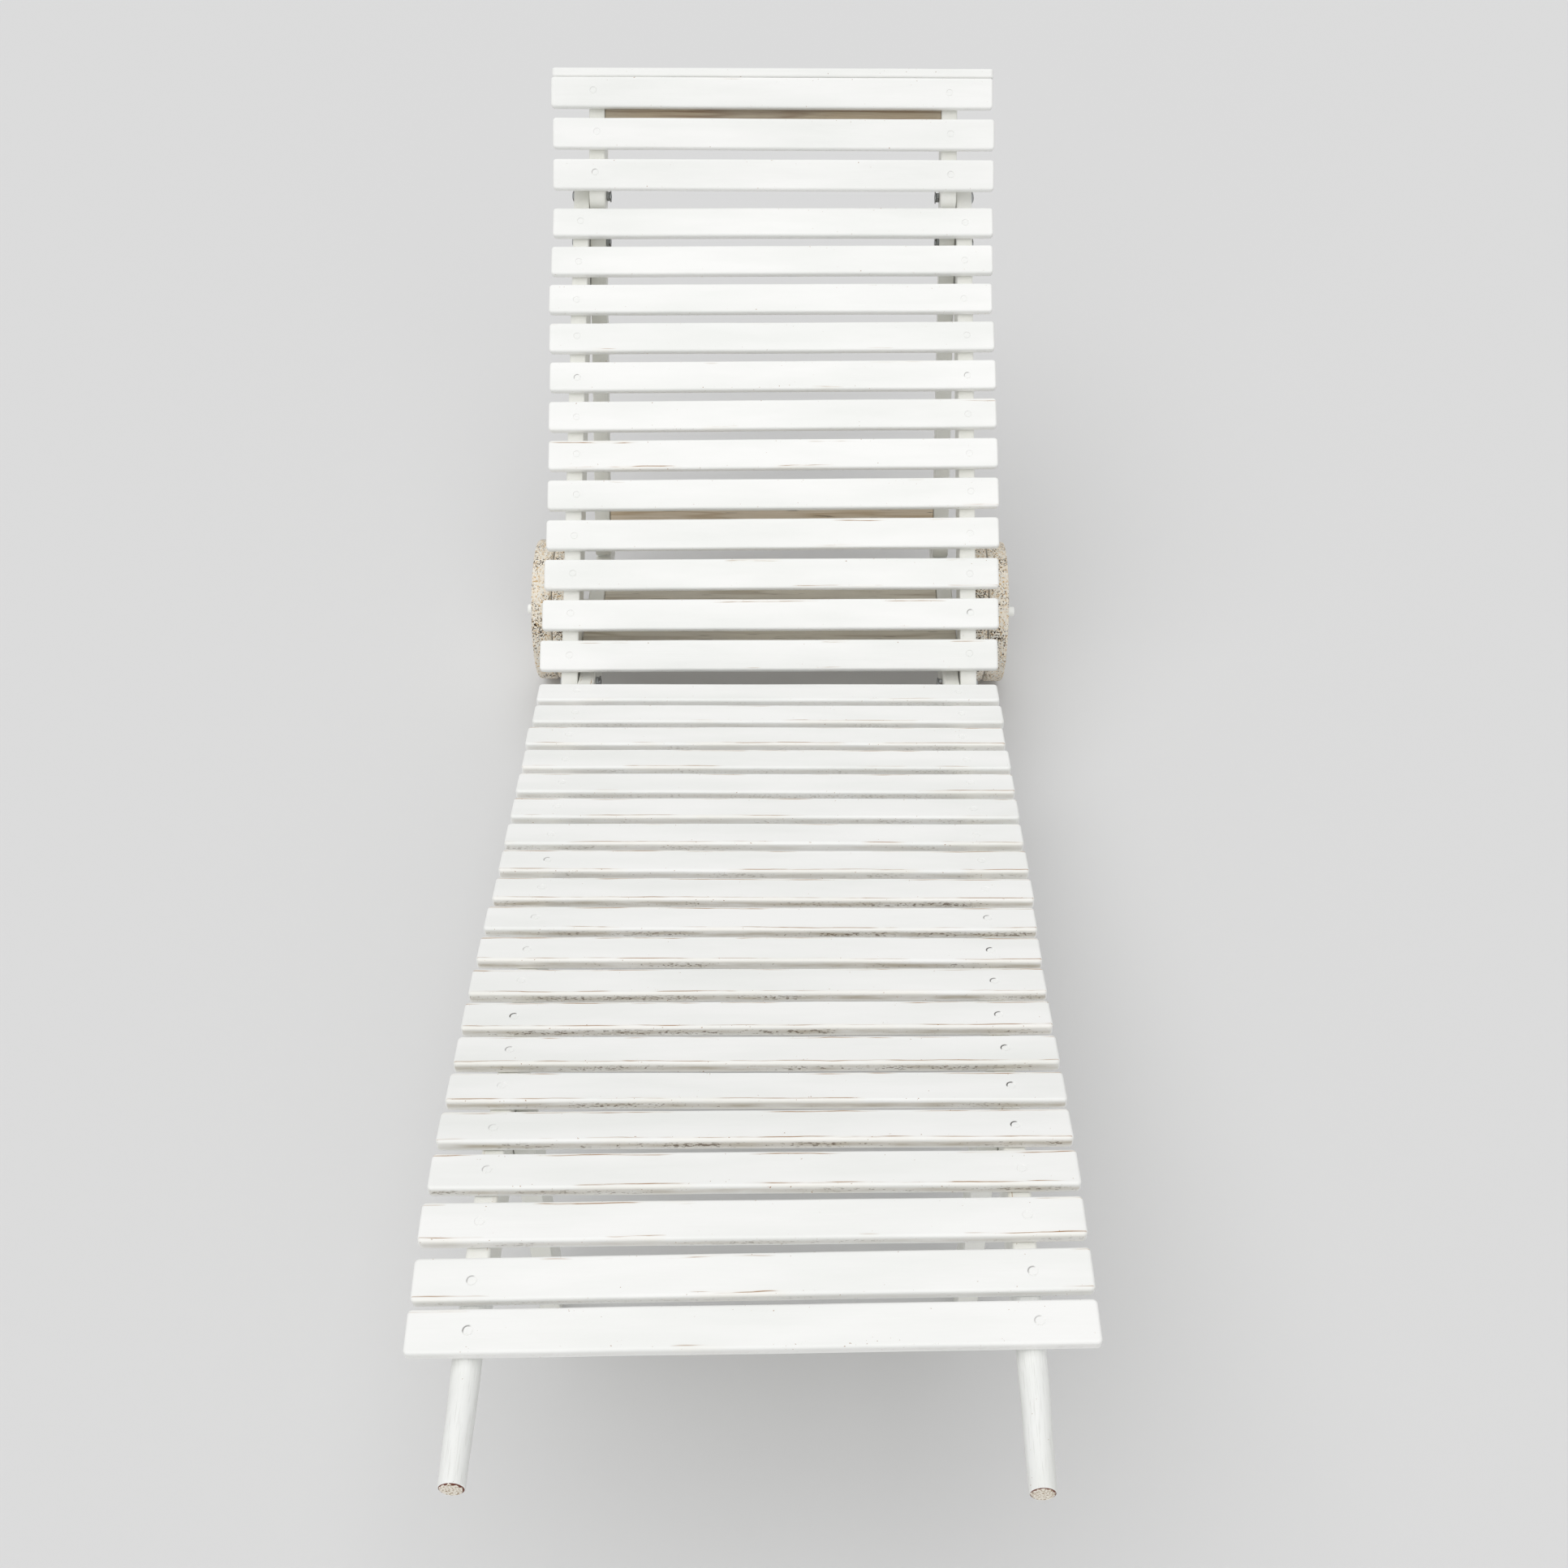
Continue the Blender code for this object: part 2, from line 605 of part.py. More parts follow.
paint = make_material("white_painted_wood", (0.88, 0.88, 0.86), 0.45)
bare_wood = make_material("bare_weathered_wood", (0.42, 0.33, 0.24), 0.75)
wheel_wood = make_material("worn_wheel_wood", (0.55, 0.48, 0.38), 0.8)
cap_paint = make_material("painted_steel", (0.80, 0.80, 0.77), 0.4, 0.0)
steel = make_material("galvanised_steel", (0.50, 0.50, 0.50), 0.45, 1.0)

root = new_axis("chair", None)
add_seat(root)
long_rails = add_side_rails(root)
add_base(root, long_rails)
add_front_legs(root)
back_frame, outer_rails = add_back(root, long_rails)
add_prop(back_frame, outer_rails)
add_headrest(back_frame, outer_rails)

lowest, highest = world_box()
root.location = (0, -(lowest.y + highest.y) / 2, -lowest.z)
bpy.context.view_layer.update()
for marker in ("chair", "back_axis", "prop_axis", "headrest_axis"):
    print(marker, [round(value, 5) for value in bpy.data.objects[marker].matrix_world.translation])
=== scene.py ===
"""The finished look of a slatted wooden deck chair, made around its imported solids.

Sizes are in metres, +Z up, with +Y from the foot end to the head end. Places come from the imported
solids wherever they hold them, so the pieces follow the solids when those change.
"""

import itertools
import logging
import math
import random
from dataclasses import dataclass, field
from enum import Enum
from functools import partial

import bmesh
import bpy
import numpy as np
from bpy.types import Material, Mesh, Node, NodeOutputs, NodeSocket, NodeTree, Object
from mathutils import Matrix, Vector, noise


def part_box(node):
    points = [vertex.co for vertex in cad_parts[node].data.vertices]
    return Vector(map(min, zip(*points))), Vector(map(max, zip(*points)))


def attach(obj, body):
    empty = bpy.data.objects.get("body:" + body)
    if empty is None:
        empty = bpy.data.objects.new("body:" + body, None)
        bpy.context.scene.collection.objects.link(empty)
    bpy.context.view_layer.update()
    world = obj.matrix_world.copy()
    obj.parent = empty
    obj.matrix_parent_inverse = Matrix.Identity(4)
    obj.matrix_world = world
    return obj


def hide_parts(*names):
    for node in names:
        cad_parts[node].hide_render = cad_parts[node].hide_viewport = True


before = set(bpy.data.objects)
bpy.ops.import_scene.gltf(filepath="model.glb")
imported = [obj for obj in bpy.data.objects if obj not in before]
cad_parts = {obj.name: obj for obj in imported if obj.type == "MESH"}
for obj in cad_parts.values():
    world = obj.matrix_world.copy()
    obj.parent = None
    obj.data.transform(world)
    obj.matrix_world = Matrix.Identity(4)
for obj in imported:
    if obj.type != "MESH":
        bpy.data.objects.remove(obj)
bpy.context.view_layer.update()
LOG = logging.getLogger("deck_chair")

# Node types, and for maths nodes the type with the operation.
ADD, SUBTRACT, MULTIPLY, MULTIPLY_ADD, DIVIDE, MAXIMUM, MINIMUM, ABSOLUTE, SIGN, PINGPONG, GREATER, LESS = (
    ("ShaderNodeMath", operation)
    for operation in (
        "ADD", "SUBTRACT", "MULTIPLY", "MULTIPLY_ADD", "DIVIDE", "MAXIMUM", "MINIMUM", "ABSOLUTE", "SIGN",
        "PINGPONG", "GREATER_THAN", "LESS_THAN",
    )
)
V_ADD, V_SUBTRACT, V_MULTIPLY, V_SCALE, V_LENGTH, V_ABSOLUTE, V_SIGN = (
    ("ShaderNodeVectorMath", operation)
    for operation in ("ADD", "SUBTRACT", "MULTIPLY", "SCALE", "LENGTH", "ABSOLUTE", "SIGN")
)
RANGE = "ShaderNodeMapRange"
MIX = "ShaderNodeMix"
NOISE = "ShaderNodeTexNoise"
ATTRIBUTE = "ShaderNodeAttribute"
SPLIT = "ShaderNodeSeparateXYZ"
COMBINE = "ShaderNodeCombineXYZ"
BUMP = "ShaderNodeBump"
STORE = "GeometryNodeStoreNamedAttribute"
TRANSFORM = "GeometryNodeTransform"
CONE = "GeometryNodeMeshCone"
CUBE = "GeometryNodeMeshCube"
CUT = "GeometryNodeMeshBoolean"
JOIN = "GeometryNodeJoinGeometry"
Track = tuple[tuple[int, float], ...]
MERGE_DISTANCE = 1e-5
FLAT_ANGLE = math.radians(0.5)


class Side(Enum):
    """The chair's two sides, as seen from the foot end, with the sign of X there."""

    LEFT = -1
    RIGHT = 1

    @property
    def word(self) -> str:
        """The side's name as used in node names."""
        return self.name.lower()


class Body(Enum):
    """The rigid bodies that the pieces ride on."""

    FRAME = "frame"
    BACK = "back"
    PROP = "prop"
    HEADREST = "headrest"
    WHEEL_LEFT = "wheel_left"
    WHEEL_RIGHT = "wheel_right"


class Slot(Enum):
    """The names of the material slots."""

    PAINT = "painted_wood"
    BARE = "bare_wood"
    WHEEL = "wheel_wood"
    CAP = "painted_steel"
    ZINC = "zinc_steel"


def linear(hex_value: str) -> tuple[float, float, float, float]:
    """Turns an sRGB hex value into a linear colour.

    Args:
        hex_value: Six hex digits.

    Returns:
        Red, green, blue and an alpha of 1.
    """
    channels = []
    for start in (0, 2, 4):
        share = int(hex_value[start:start + 2], 16) / 255
        channels.append(share / 12.92 if share <= 0.04045 else ((share + 0.055) / 1.055) ** 2.4)
    return (*channels, 1.0)


def add_node(
    tree: NodeTree, kind: str | tuple[str, str], *values: object, out: int | str = 0, **settings: object
) -> NodeSocket | Node:
    """Adds a node with its settings, values and links.

    Args:
        tree: The shader or geometry tree.
        kind: The node's type, with its operation for a maths node.
        *values: Values or output sockets for its first inputs, or one dict of them by name or number.
        out: The output that the caller goes on with.
        **settings: Properties of the node, set before its inputs.

    Returns:
        The chosen output socket, or the node where it has no outputs.
    """
    if isinstance(kind, tuple):
        kind, settings["operation"] = kind
    node = tree.nodes.new(kind)
    for name, value in settings.items():
        setattr(node, name, value)
    by_name = values and isinstance(values[0], dict)
    for key, value in (values[0] if by_name else dict(enumerate(values))).items():
        if isinstance(value, NodeSocket):
            tree.links.new(value, node.inputs[key])
        else:
            node.inputs[key].default_value = value
    return node.outputs[out] if node.outputs else node


def metres(*millimetres: float) -> list[float]:
    """Turns millimetres into metres."""
    return [length / 1000 for length in millimetres]


def new_material(name: str) -> tuple[Material, NodeTree, Node]:
    """Makes a material with an empty Principled shader.

    Args:
        name: The finish's name.

    Returns:
        The material, its tree and its shader node.
    """
    material = bpy.data.materials.new(name)
    material.use_nodes = True
    return material, material.node_tree, material.node_tree.nodes["Principled BSDF"]


def grain(
    tree: NodeTree, place: NodeSocket, along_mm: float, across_mm: float, detail: float = 3.0
) -> NodeSocket:
    """Adds noise drawn out along a board.

    Args:
        tree: The shader tree.
        place: The socket of the place in the board, in metres.
        along_mm: The pattern's length along the board.
        across_mm: Its width across it.
        detail: The noise's octaves.

    Returns:
        The noise's value socket.
    """
    scale = (1000 / along_mm, 1000 / across_mm, 1000 / across_mm)
    drawn = add_node(tree, V_MULTIPLY, place, scale)
    return add_node(tree, NOISE, {"Vector": drawn, "Scale": 1.0, "Detail": detail})


def mixed(tree: NodeTree, share: NodeSocket, first: NodeSocket | tuple, second: str) -> NodeSocket:
    """Mixes two colours.

    Args:
        tree: The shader tree.
        share: The second colour's share, as a socket.
        first: The first colour, as a value or a socket.
        second: The second colour's hex value.

    Returns:
        The mixed colour's socket.
    """
    return add_node(tree, MIX, {0: share, 6: first, 7: linear(second)}, out=2, data_type="RGBA")


def dress(
    tree: NodeTree, shader: Node, colour: NodeSocket, rough: NodeSocket | float, height: NodeSocket,
    strength: float, depth_mm: float,
) -> None:
    """Gives a shader its colour, roughness and relief.

    Args:
        tree: The shader tree.
        shader: Its Principled shader.
        colour: The colour's socket.
        rough: The roughness, as a number or a socket.
        height: The relief's socket.
        strength: How strongly the relief shades.
        depth_mm: The relief's depth.
    """
    bump = add_node(tree, BUMP, {"Strength": strength, "Distance": depth_mm / 1000, "Height": height})
    for name, value in (("Base Color", colour), ("Roughness", rough), ("Normal", bump)):
        if isinstance(value, NodeSocket):
            tree.links.new(value, shader.inputs[name])
        else:
            shader.inputs[name].default_value = value


def board_place(tree: NodeTree) -> tuple[NodeSocket, NodeSocket, NodeSocket]:
    """Reads a board's own measures from its mesh.

    Args:
        tree: The shader tree.

    Returns:
        The place from the board's middle, the same shifted by the board's seed, and the board's half size.
    """
    add = partial(add_node, tree)
    board = add(ATTRIBUTE, out="Vector", attribute_name="board")
    half = add(ATTRIBUTE, out="Vector", attribute_name="half")
    seed = add(ATTRIBUTE, out="Fac", attribute_name="seed")
    shift = add(V_SCALE, {0: (3.1, 5.7, 9.2), "Scale": seed})
    return board, add(V_ADD, board, shift), half


@dataclass(frozen=True)
class WornPaint:
    """White gloss paint brushed on softwood outdoors, with fields for how far it has worn.

    The eye gets fine brush lines, a crisp ochre line where each arris begins, pale ochre stains
    beside it, a darker film with dark specks on the narrow sides, partly soiling and partly painted
    shade, and at some screws a painted shadow crescent with some soiling.
    """

    name: str = "brushed_white_gloss_paint"
    paint: str = "F5F5F3"
    shade: str = "EDEEEB"
    streak: str = "A9A79E"
    stain: str = "EAD9B4"
    wood: str = "9C6F3A"
    # The film's colour on the narrow sides: partly soiling, partly painted shade.
    grime_and_shade: str = "9C8B69"
    dark: str = "574122"
    # The colour of the painted shadow crescent, with some soiling, in a screw's rim.
    screw_dirt: str = "55524E"
    arris_mm: float = 3.0
    line_mm: float = 0.9
    line_length_mm: float = 130.0
    stain_mm: float = 6.0
    # Pattern sizes, along and across the board. Brush marks and wrinkles are nearer 0.3 mm wide, and
    # dirt specks 0.5 mm; all are drawn coarser so that they show.
    brush_mm: tuple[float, float] = (70.0, 1.1)
    wrinkle_mm: tuple[float, float] = (24.0, 0.9)
    speck_mm: tuple[float, float] = (4.5, 1.5)
    cloud_mm: tuple[float, float] = (220.0, 45.0)
    lump_mm: tuple[float, float] = (40.0, 9.0)
    torn_mm: tuple[float, float] = (55.0, 1.5)
    stain_cloud_mm: tuple[float, float] = (40.0, 4.0)
    chip_mm: tuple[float, float] = (3.4, 2.0)
    mottle_mm: tuple[float, float] = (45.0, 6.0)
    crowd_mm: tuple[float, float] = (90.0, 30.0)
    wander_mm: tuple[float, float] = (60.0, 400.0)
    # Noise values between which a mark sets in, or the noise's span and what it becomes.
    worn_from: tuple[float, float] = (0.62, 0.70)
    torn_from: tuple[float, float] = (0.46, 0.55)
    tone_from: tuple[float, float] = (0.35, 0.70)
    streak_from: tuple[float, float] = (0.54, 0.68)
    chips_from: tuple[float, float] = (0.72, 0.80)
    wander_span: tuple[float, float] = (0.3, 0.7)
    mottle_span: tuple[float, float, float, float] = (0.32, 0.66, 0.25, 1.0)
    crowd_span: tuple[float, float, float, float] = (0.40, 0.65, 0.70, 0.53)
    chip_edge: float = 0.015
    speck_edge: float = 0.04
    # Where a mark lies: distances from an edge, or shares of the arris or of the line's width.
    face_fade_mm: tuple[float, float] = (0.6, 1.6)
    side_fade_mm: tuple[float, float] = (0.4, 1.6)
    ring_fade_mm: tuple[float, float] = (0.3, 1.0)
    ring_corner_mm: tuple[float, float] = (1.2, 4.2)
    chip_reach_mm: float = 15.0
    line_at: tuple[float, float] = (0.9, 1.5)
    line_core: float = 0.3
    grime_and_shade_below: tuple[float, float] = (0.8, 1.8)
    # How strongly each mark shows, and how far it stands out or lies in.
    wear_gain: float = 0.24
    edge_step: float = 7.3
    stain_share: float = 0.32
    film_share: float = 0.62
    bare_share: float = 0.95
    speck_share: float = 0.75
    # How strongly the painted shadow crescent in a screw's rim shows.
    ring_share: float = 0.95
    lump_height: float = 2.4
    bare_height: float = -0.8
    streak_height: float = -3.0
    chips: float = 0.0
    streaks: float = 0.0
    screw_mm: float = 4.4
    roughness: float = 0.45
    bare_roughness: float = 0.85

    def edge_wear(
        self, tree: NodeTree, place: NodeOutputs, row: NodeSocket, inset: NodeOutputs
    ) -> tuple[NodeSocket, NodeSocket]:
        """Draws the wear along a board's four long edges.

        Args:
            tree: The shader tree.
            place: The outputs of the place in the board, shifted by its seed.
            row: A number that differs between the board's two edges.
            inset: The outputs of the distance from each face.

        Returns:
            The masks of the pale stains and of the bare lines and chips.
        """
        add = partial(add_node, tree)
        wear = add(ATTRIBUTE, out="Fac", attribute_name="wear")
        along = add(MULTIPLY, place["X"], 1000 / self.line_length_mm)
        spot = add(COMBINE, {"X": along, "Y": row})
        presence = add(NOISE, {"Vector": spot, "Scale": 1.0, "Detail": 2.0})
        presence = add(MULTIPLY_ADD, wear, self.wear_gain, presence)
        there = add(RANGE, presence, *self.worn_from)
        whole = add(COMBINE, {axis: place[axis] for axis in "XYZ"})
        wander = grain(tree, whole, *self.wander_mm, 2.0)
        lie = metres(*(self.arris_mm * share for share in self.line_at))
        lie = add(RANGE, wander, *self.wander_span, *lie)
        off = add(SUBTRACT, inset["Y"], lie)
        off = add(ABSOLUTE, off)
        fade = metres(self.line_mm * self.line_core, self.line_mm)
        line = add(RANGE, off, *fade, 1.0, 0.0)
        face = add(RANGE, inset["Z"], *metres(*self.face_fade_mm), 1.0, 0.0)
        torn = add(RANGE, grain(tree, whole, *self.torn_mm, 4.0), *self.torn_from)
        for mask in (face, there, torn):
            line = add(MULTIPLY, line, mask)
        near = add(ADD, inset["Y"], inset["Z"])
        stain = add(RANGE, near, *metres(0.0, self.stain_mm), 1.0, 0.0)
        stain = add(MULTIPLY, stain, there)
        stain = add(MULTIPLY, stain, grain(tree, whole, *self.stain_cloud_mm))
        flecks = grain(tree, whole, *self.chip_mm, 2.0)
        limits = [limit - self.chips for limit in self.chips_from]
        limit = add(RANGE, near, *metres(0.0, self.chip_reach_mm), *limits)
        chip = add(SUBTRACT, flecks, limit)
        chip = add(RANGE, chip, 0.0, self.chip_edge)
        return stain, add(MAXIMUM, line, chip)

    def side_grime_and_shade(
        self, tree: NodeTree, place: NodeSocket, inset: NodeOutputs
    ) -> tuple[NodeSocket, NodeSocket]:
        """Draws a darker film on the narrow sides, below the rounded arris: partly soiling, partly painted
        shade.

        Args:
            tree: The shader tree.
            place: The place in the board, shifted by its seed.
            inset: The outputs of the distance from each face.

        Returns:
            The masks of the ochre-brown film, partly painted shade, and of the dark specks of soil in it.
        """
        add = partial(add_node, tree)
        dirt = add(ATTRIBUTE, out="Fac", attribute_name="dirt")
        side = add(RANGE, inset["Y"], *metres(*self.side_fade_mm), 1.0, 0.0)
        low = metres(*(self.arris_mm * share for share in self.grime_and_shade_below))
        for mask in (add(RANGE, inset["Z"], *low), dirt):
            side = add(MULTIPLY, side, mask)
        mottle = add(RANGE, grain(tree, place, *self.mottle_mm, 5.0), *self.mottle_span)
        # The film darkens the narrow sides in the gaps between slats: partly soiling, partly painted shade.
        film = add(MULTIPLY, side, mottle)
        crowd = add(RANGE, grain(tree, place, *self.crowd_mm, 2.0), *self.crowd_span)
        speck = add(SUBTRACT, grain(tree, place, *self.speck_mm), crowd)
        speck = add(RANGE, speck, 0.0, self.speck_edge)
        return film, add(MULTIPLY, speck, side)

    def screw_shadow_crescents(self, tree: NodeTree, across: NodeSocket) -> NodeSocket:
        """Draws a painted shadow crescent, with some soiling, in the upper left rim of a screw's dimple.

        Args:
            tree: The shader tree.
            across: The sign of the board's side.

        Returns:
            The mask.
        """
        add = partial(add_node, tree)
        screw = add(ATTRIBUTE, out="Vector", attribute_name="screw")
        away = add(SPLIT, screw).node.outputs
        reach = add(V_LENGTH, screw, out=1)
        off = add(SUBTRACT, reach, self.screw_mm / 1000)
        off = add(ABSOLUTE, off)
        ring = add(RANGE, off, *metres(*self.ring_fade_mm), 1.0, 0.0)
        right = add(MULTIPLY, away["X"], across)
        corner = add(SUBTRACT, away["Y"], right)
        upper = add(RANGE, corner, *metres(*self.ring_corner_mm))
        marks = add(ATTRIBUTE, out="Vector", attribute_name="marks")
        marks = add(SPLIT, marks).node.outputs
        # Only the ring's upper left part is kept: a painted shadow crescent.
        ring = add(MULTIPLY, ring, upper)
        strength = add(RANGE, across, -1.0, 1.0, marks["X"], marks["Y"])
        return add(MULTIPLY, ring, strength)

    def build(self) -> Material:
        """Makes the material.

        Returns:
            The finish as a material.
        """
        material, tree, shader = new_material(self.name)
        add = partial(add_node, tree)
        board, place, half = board_place(tree)
        size = add(V_ABSOLUTE, board)
        inset = add(SPLIT, add(V_SUBTRACT, half, size)).node.outputs
        middle = add(SPLIT, board).node.outputs
        row = add(SIGN, middle["Y"])
        row = add(MULTIPLY, row, self.edge_step)
        shifted = add(SPLIT, place).node.outputs
        stain, gone = self.edge_wear(tree, shifted, row, inset)
        film, speck = self.side_grime_and_shade(tree, place, inset)
        ring = self.screw_shadow_crescents(tree, add(SIGN, middle["X"]))
        tone = add(RANGE, grain(tree, place, *self.cloud_mm), *self.tone_from)
        streak = add(RANGE, grain(tree, place, *self.wrinkle_mm, 4.0), *self.streak_from)
        colour = mixed(tree, tone, linear(self.paint), self.shade)
        layers = (
            (streak, self.streaks, self.streak),
            (stain, self.stain_share, self.stain),
            # The film on the narrow sides is partly painted shade.
            (film, self.film_share, self.grime_and_shade),
            (gone, self.bare_share, self.wood),
            (speck, self.speck_share, self.dark),
            # The painted shadow crescent, with some soiling, in each screw's rim.
            (ring, self.ring_share, self.screw_dirt),
        )
        for mask, most, layer in layers:
            share = add(MULTIPLY, mask, most)
            colour = mixed(tree, share, colour, layer)
        bare = add(ADD, gone, film)
        rough = add(RANGE, bare, 0.0, 1.0, self.roughness, self.bare_roughness)
        brush = grain(tree, place, *self.brush_mm)
        lumps = grain(tree, place, *self.lump_mm, 2.0)
        height = add(MULTIPLY_ADD, lumps, self.lump_height, brush)
        height = add(MULTIPLY_ADD, gone, self.bare_height, height)
        height = add(MULTIPLY_ADD, streak, self.streak_height * self.streaks, height)
        dress(tree, shader, colour, rough, height, 0.4, 0.3)
        return material


@dataclass(frozen=True)
class BareWood:
    """Unpainted softwood left outdoors; the eye gets grey-brown late-wood lines and fine cracks."""

    name: str
    light: str
    dark: str
    grey: str = "C2BCB2"
    crack: str = "5A4836"
    ring_mm: float = 5.0
    # Real fibre lines are nearer 0.3 mm and cracks 0.5 mm wide; both are drawn coarser so that they show.
    fibre_mm: tuple[float, float] = (60.0, 0.8)
    crack_mm: tuple[float, float] = (50.0, 1.6)
    weather_mm: tuple[float, float] = (160.0, 40.0)
    ring_length_mm: float = 400.0
    ring_count: float = 9.0
    ring_share: float = 0.55
    late_from: tuple[float, float] = (0.55, 1.0)
    dark_from: tuple[float, float] = (0.3, 1.1)
    grey_from: tuple[float, float] = (0.40, 0.65)
    crack_from: tuple[float, float] = (0.68, 0.74)
    crack_height: float = -1.5
    roughness: float = 0.82
    greying: float = 0.45

    def build(self) -> Material:
        """Makes the material.

        Returns:
            The finish as a material.
        """
        material, tree, shader = new_material(self.name)
        add = partial(add_node, tree)
        _, place, _ = board_place(tree)
        rings = grain(tree, place, self.ring_length_mm, self.ring_mm * 4, 2.0)
        rings = add(MULTIPLY, rings, self.ring_count)
        rings = add(PINGPONG, rings, 1.0)
        late = add(RANGE, rings, *self.late_from)
        fibre = grain(tree, place, *self.fibre_mm, 4.0)
        both = add(MULTIPLY_ADD, late, self.ring_share, fibre)
        share = add(RANGE, both, *self.dark_from)
        colour = mixed(tree, share, linear(self.light), self.dark)
        weather = grain(tree, place, *self.weather_mm)
        greyed = add(RANGE, weather, *self.grey_from, 0.0, self.greying)
        colour = mixed(tree, greyed, colour, self.grey)
        cracked = add(RANGE, grain(tree, place, *self.crack_mm, 2.0), *self.crack_from)
        colour = mixed(tree, cracked, colour, self.crack)
        height = add(MULTIPLY_ADD, cracked, self.crack_height, fibre)
        dress(tree, shader, colour, self.roughness, height, 0.6, 0.4)
        return material


@dataclass(frozen=True)
class WheelWood:
    """Glued layers of pale wood that were once painted.

    The eye gets a cream ground with small tan patches, white paint left in flakes and fine dark
    pits, most of them on the tread.
    """

    name: str = "worn_laminated_wheel_wood"
    paint: str = "F3F0E8"
    light: str = "F3EADA"
    tan: str = "CCAC7C"
    line: str = "B5986B"
    pit: str = "3A2814"
    layer_mm: float = 2.6
    flake_mm: float = 3.2
    patch_mm: float = 3.0
    # Real pits are about 1 mm wide; drawn coarser so that they show.
    speck_mm: float = 2.0
    crowd_mm: float = 25.0
    tread_mm: tuple[float, float] = (1.0, 6.0)
    patch_from: tuple[float, float] = (0.52, 0.64)
    layer_span: tuple[float, float, float, float] = (0.5, 0.8, 0.0, 0.4)
    # Paint is left where the flakes' noise passes these values, on the faces and on the tread.
    paint_from: tuple[float, float] = (0.36, 0.53)
    crowd_span: tuple[float, float, float, float] = (0.40, 0.62, 0.69, 0.545)
    edge: float = 0.03
    pit_height: float = -1.6
    patch_height: float = 1.5
    roughness: float = 0.8

    def build(self) -> Material:
        """Makes the material.

        Returns:
            The finish as a material.
        """
        material, tree, shader = new_material(self.name)
        add = partial(add_node, tree)
        board, place, half = board_place(tree)
        split = add(SPLIT, board).node.outputs
        flat = add(COMBINE, {"Y": split["Y"], "Z": split["Z"]})
        radius = add(V_LENGTH, flat, out=1)
        rim = add(SPLIT, half).node.outputs["Y"]
        from_rim = add(SUBTRACT, rim, radius)
        tread = add(RANGE, from_rim, *metres(*self.tread_mm), 1.0, 0.0)
        patch = add(NOISE, {"Vector": place, "Scale": 1000 / self.patch_mm, "Detail": 4.0})
        share = add(RANGE, patch, *self.patch_from)
        colour = mixed(tree, share, linear(self.light), self.tan)
        across = add(V_MULTIPLY, place, (1000 / self.layer_mm, 9.0, 9.0))
        layers = add(NOISE, {"Vector": across, "Scale": 1.0, "Detail": 2.0})
        lines = add(RANGE, layers, *self.layer_span)
        colour = mixed(tree, lines, colour, self.line)
        spread = {"Vector": place, "Scale": 1000 / self.flake_mm, "Detail": 5.0, "Roughness": 0.65}
        flakes = add(NOISE, spread)
        kept = add(RANGE, tread, 0.0, 1.0, *self.paint_from)
        paint_left = add(SUBTRACT, flakes, kept)
        paint_left = add(RANGE, paint_left, 0.0, self.edge)
        colour = mixed(tree, paint_left, colour, self.paint)
        pits = add(NOISE, {"Vector": place, "Scale": 1000 / self.speck_mm, "Detail": 1.0})
        crowd = add(NOISE, {"Vector": place, "Scale": 1000 / self.crowd_mm, "Detail": 2.0})
        limit = add(RANGE, crowd, *self.crowd_span)
        pitted = add(SUBTRACT, pits, limit)
        pitted = add(RANGE, pitted, 0.0, self.edge)
        pitted = add(MULTIPLY, pitted, tread)
        colour = mixed(tree, pitted, colour, self.pit)
        height = add(MULTIPLY_ADD, pitted, self.pit_height, paint_left)
        height = add(MULTIPLY_ADD, patch, self.patch_height, height)
        dress(tree, shader, colour, self.roughness, height, 0.6, 0.5)
        return material


@dataclass(frozen=True)
class EndGrain:
    """The handles' sawn ends; the eye gets grainy beige-grey wood in a broken red-brown rim."""

    name: str = "worn_end_grain"
    wood: str = "F1EBDF"
    pore: str = "A38D70"
    primer: str = "6A3A2B"
    radius: float = 0.012
    rim_mm: float = 2.3
    # Real pores are nearer 0.2 mm wide; drawn coarser so that they show.
    pore_mm: float = 1.8
    chip_mm: float = 4.0
    chip_reach_mm: float = 6.0
    rim_edge_mm: float = 0.6
    pore_from: tuple[float, float] = (0.48, 0.64)
    roughness: float = 0.85

    def build(self) -> Material:
        """Makes the material.

        Returns:
            The finish as a material.
        """
        material, tree, shader = new_material(self.name)
        add = partial(add_node, tree)
        board, place, _ = board_place(tree)
        split = add(SPLIT, board).node.outputs
        flat = add(COMBINE, {"Y": split["Y"], "Z": split["Z"]})
        radius = add(V_LENGTH, flat, out=1)
        fine = add(NOISE, {"Vector": place, "Scale": 1000 / self.pore_mm, "Detail": 3.0})
        share = add(RANGE, fine, *self.pore_from)
        colour = mixed(tree, share, linear(self.wood), self.pore)
        broken = add(NOISE, {"Vector": place, "Scale": 1000 / self.chip_mm, "Detail": 3.0})
        reach = add(MULTIPLY_ADD, broken, self.chip_reach_mm / 1000, radius)
        # The noise is about a half on average, so the rim moves out by half the chips' reach.
        edge = self.radius + (self.chip_reach_mm / 2 - self.rim_mm) / 1000
        chipped = add(RANGE, reach, edge, edge + self.rim_edge_mm / 1000)
        colour = mixed(tree, chipped, colour, self.primer)
        dress(tree, shader, colour, self.roughness, fine, 0.6, 0.4)
        return material


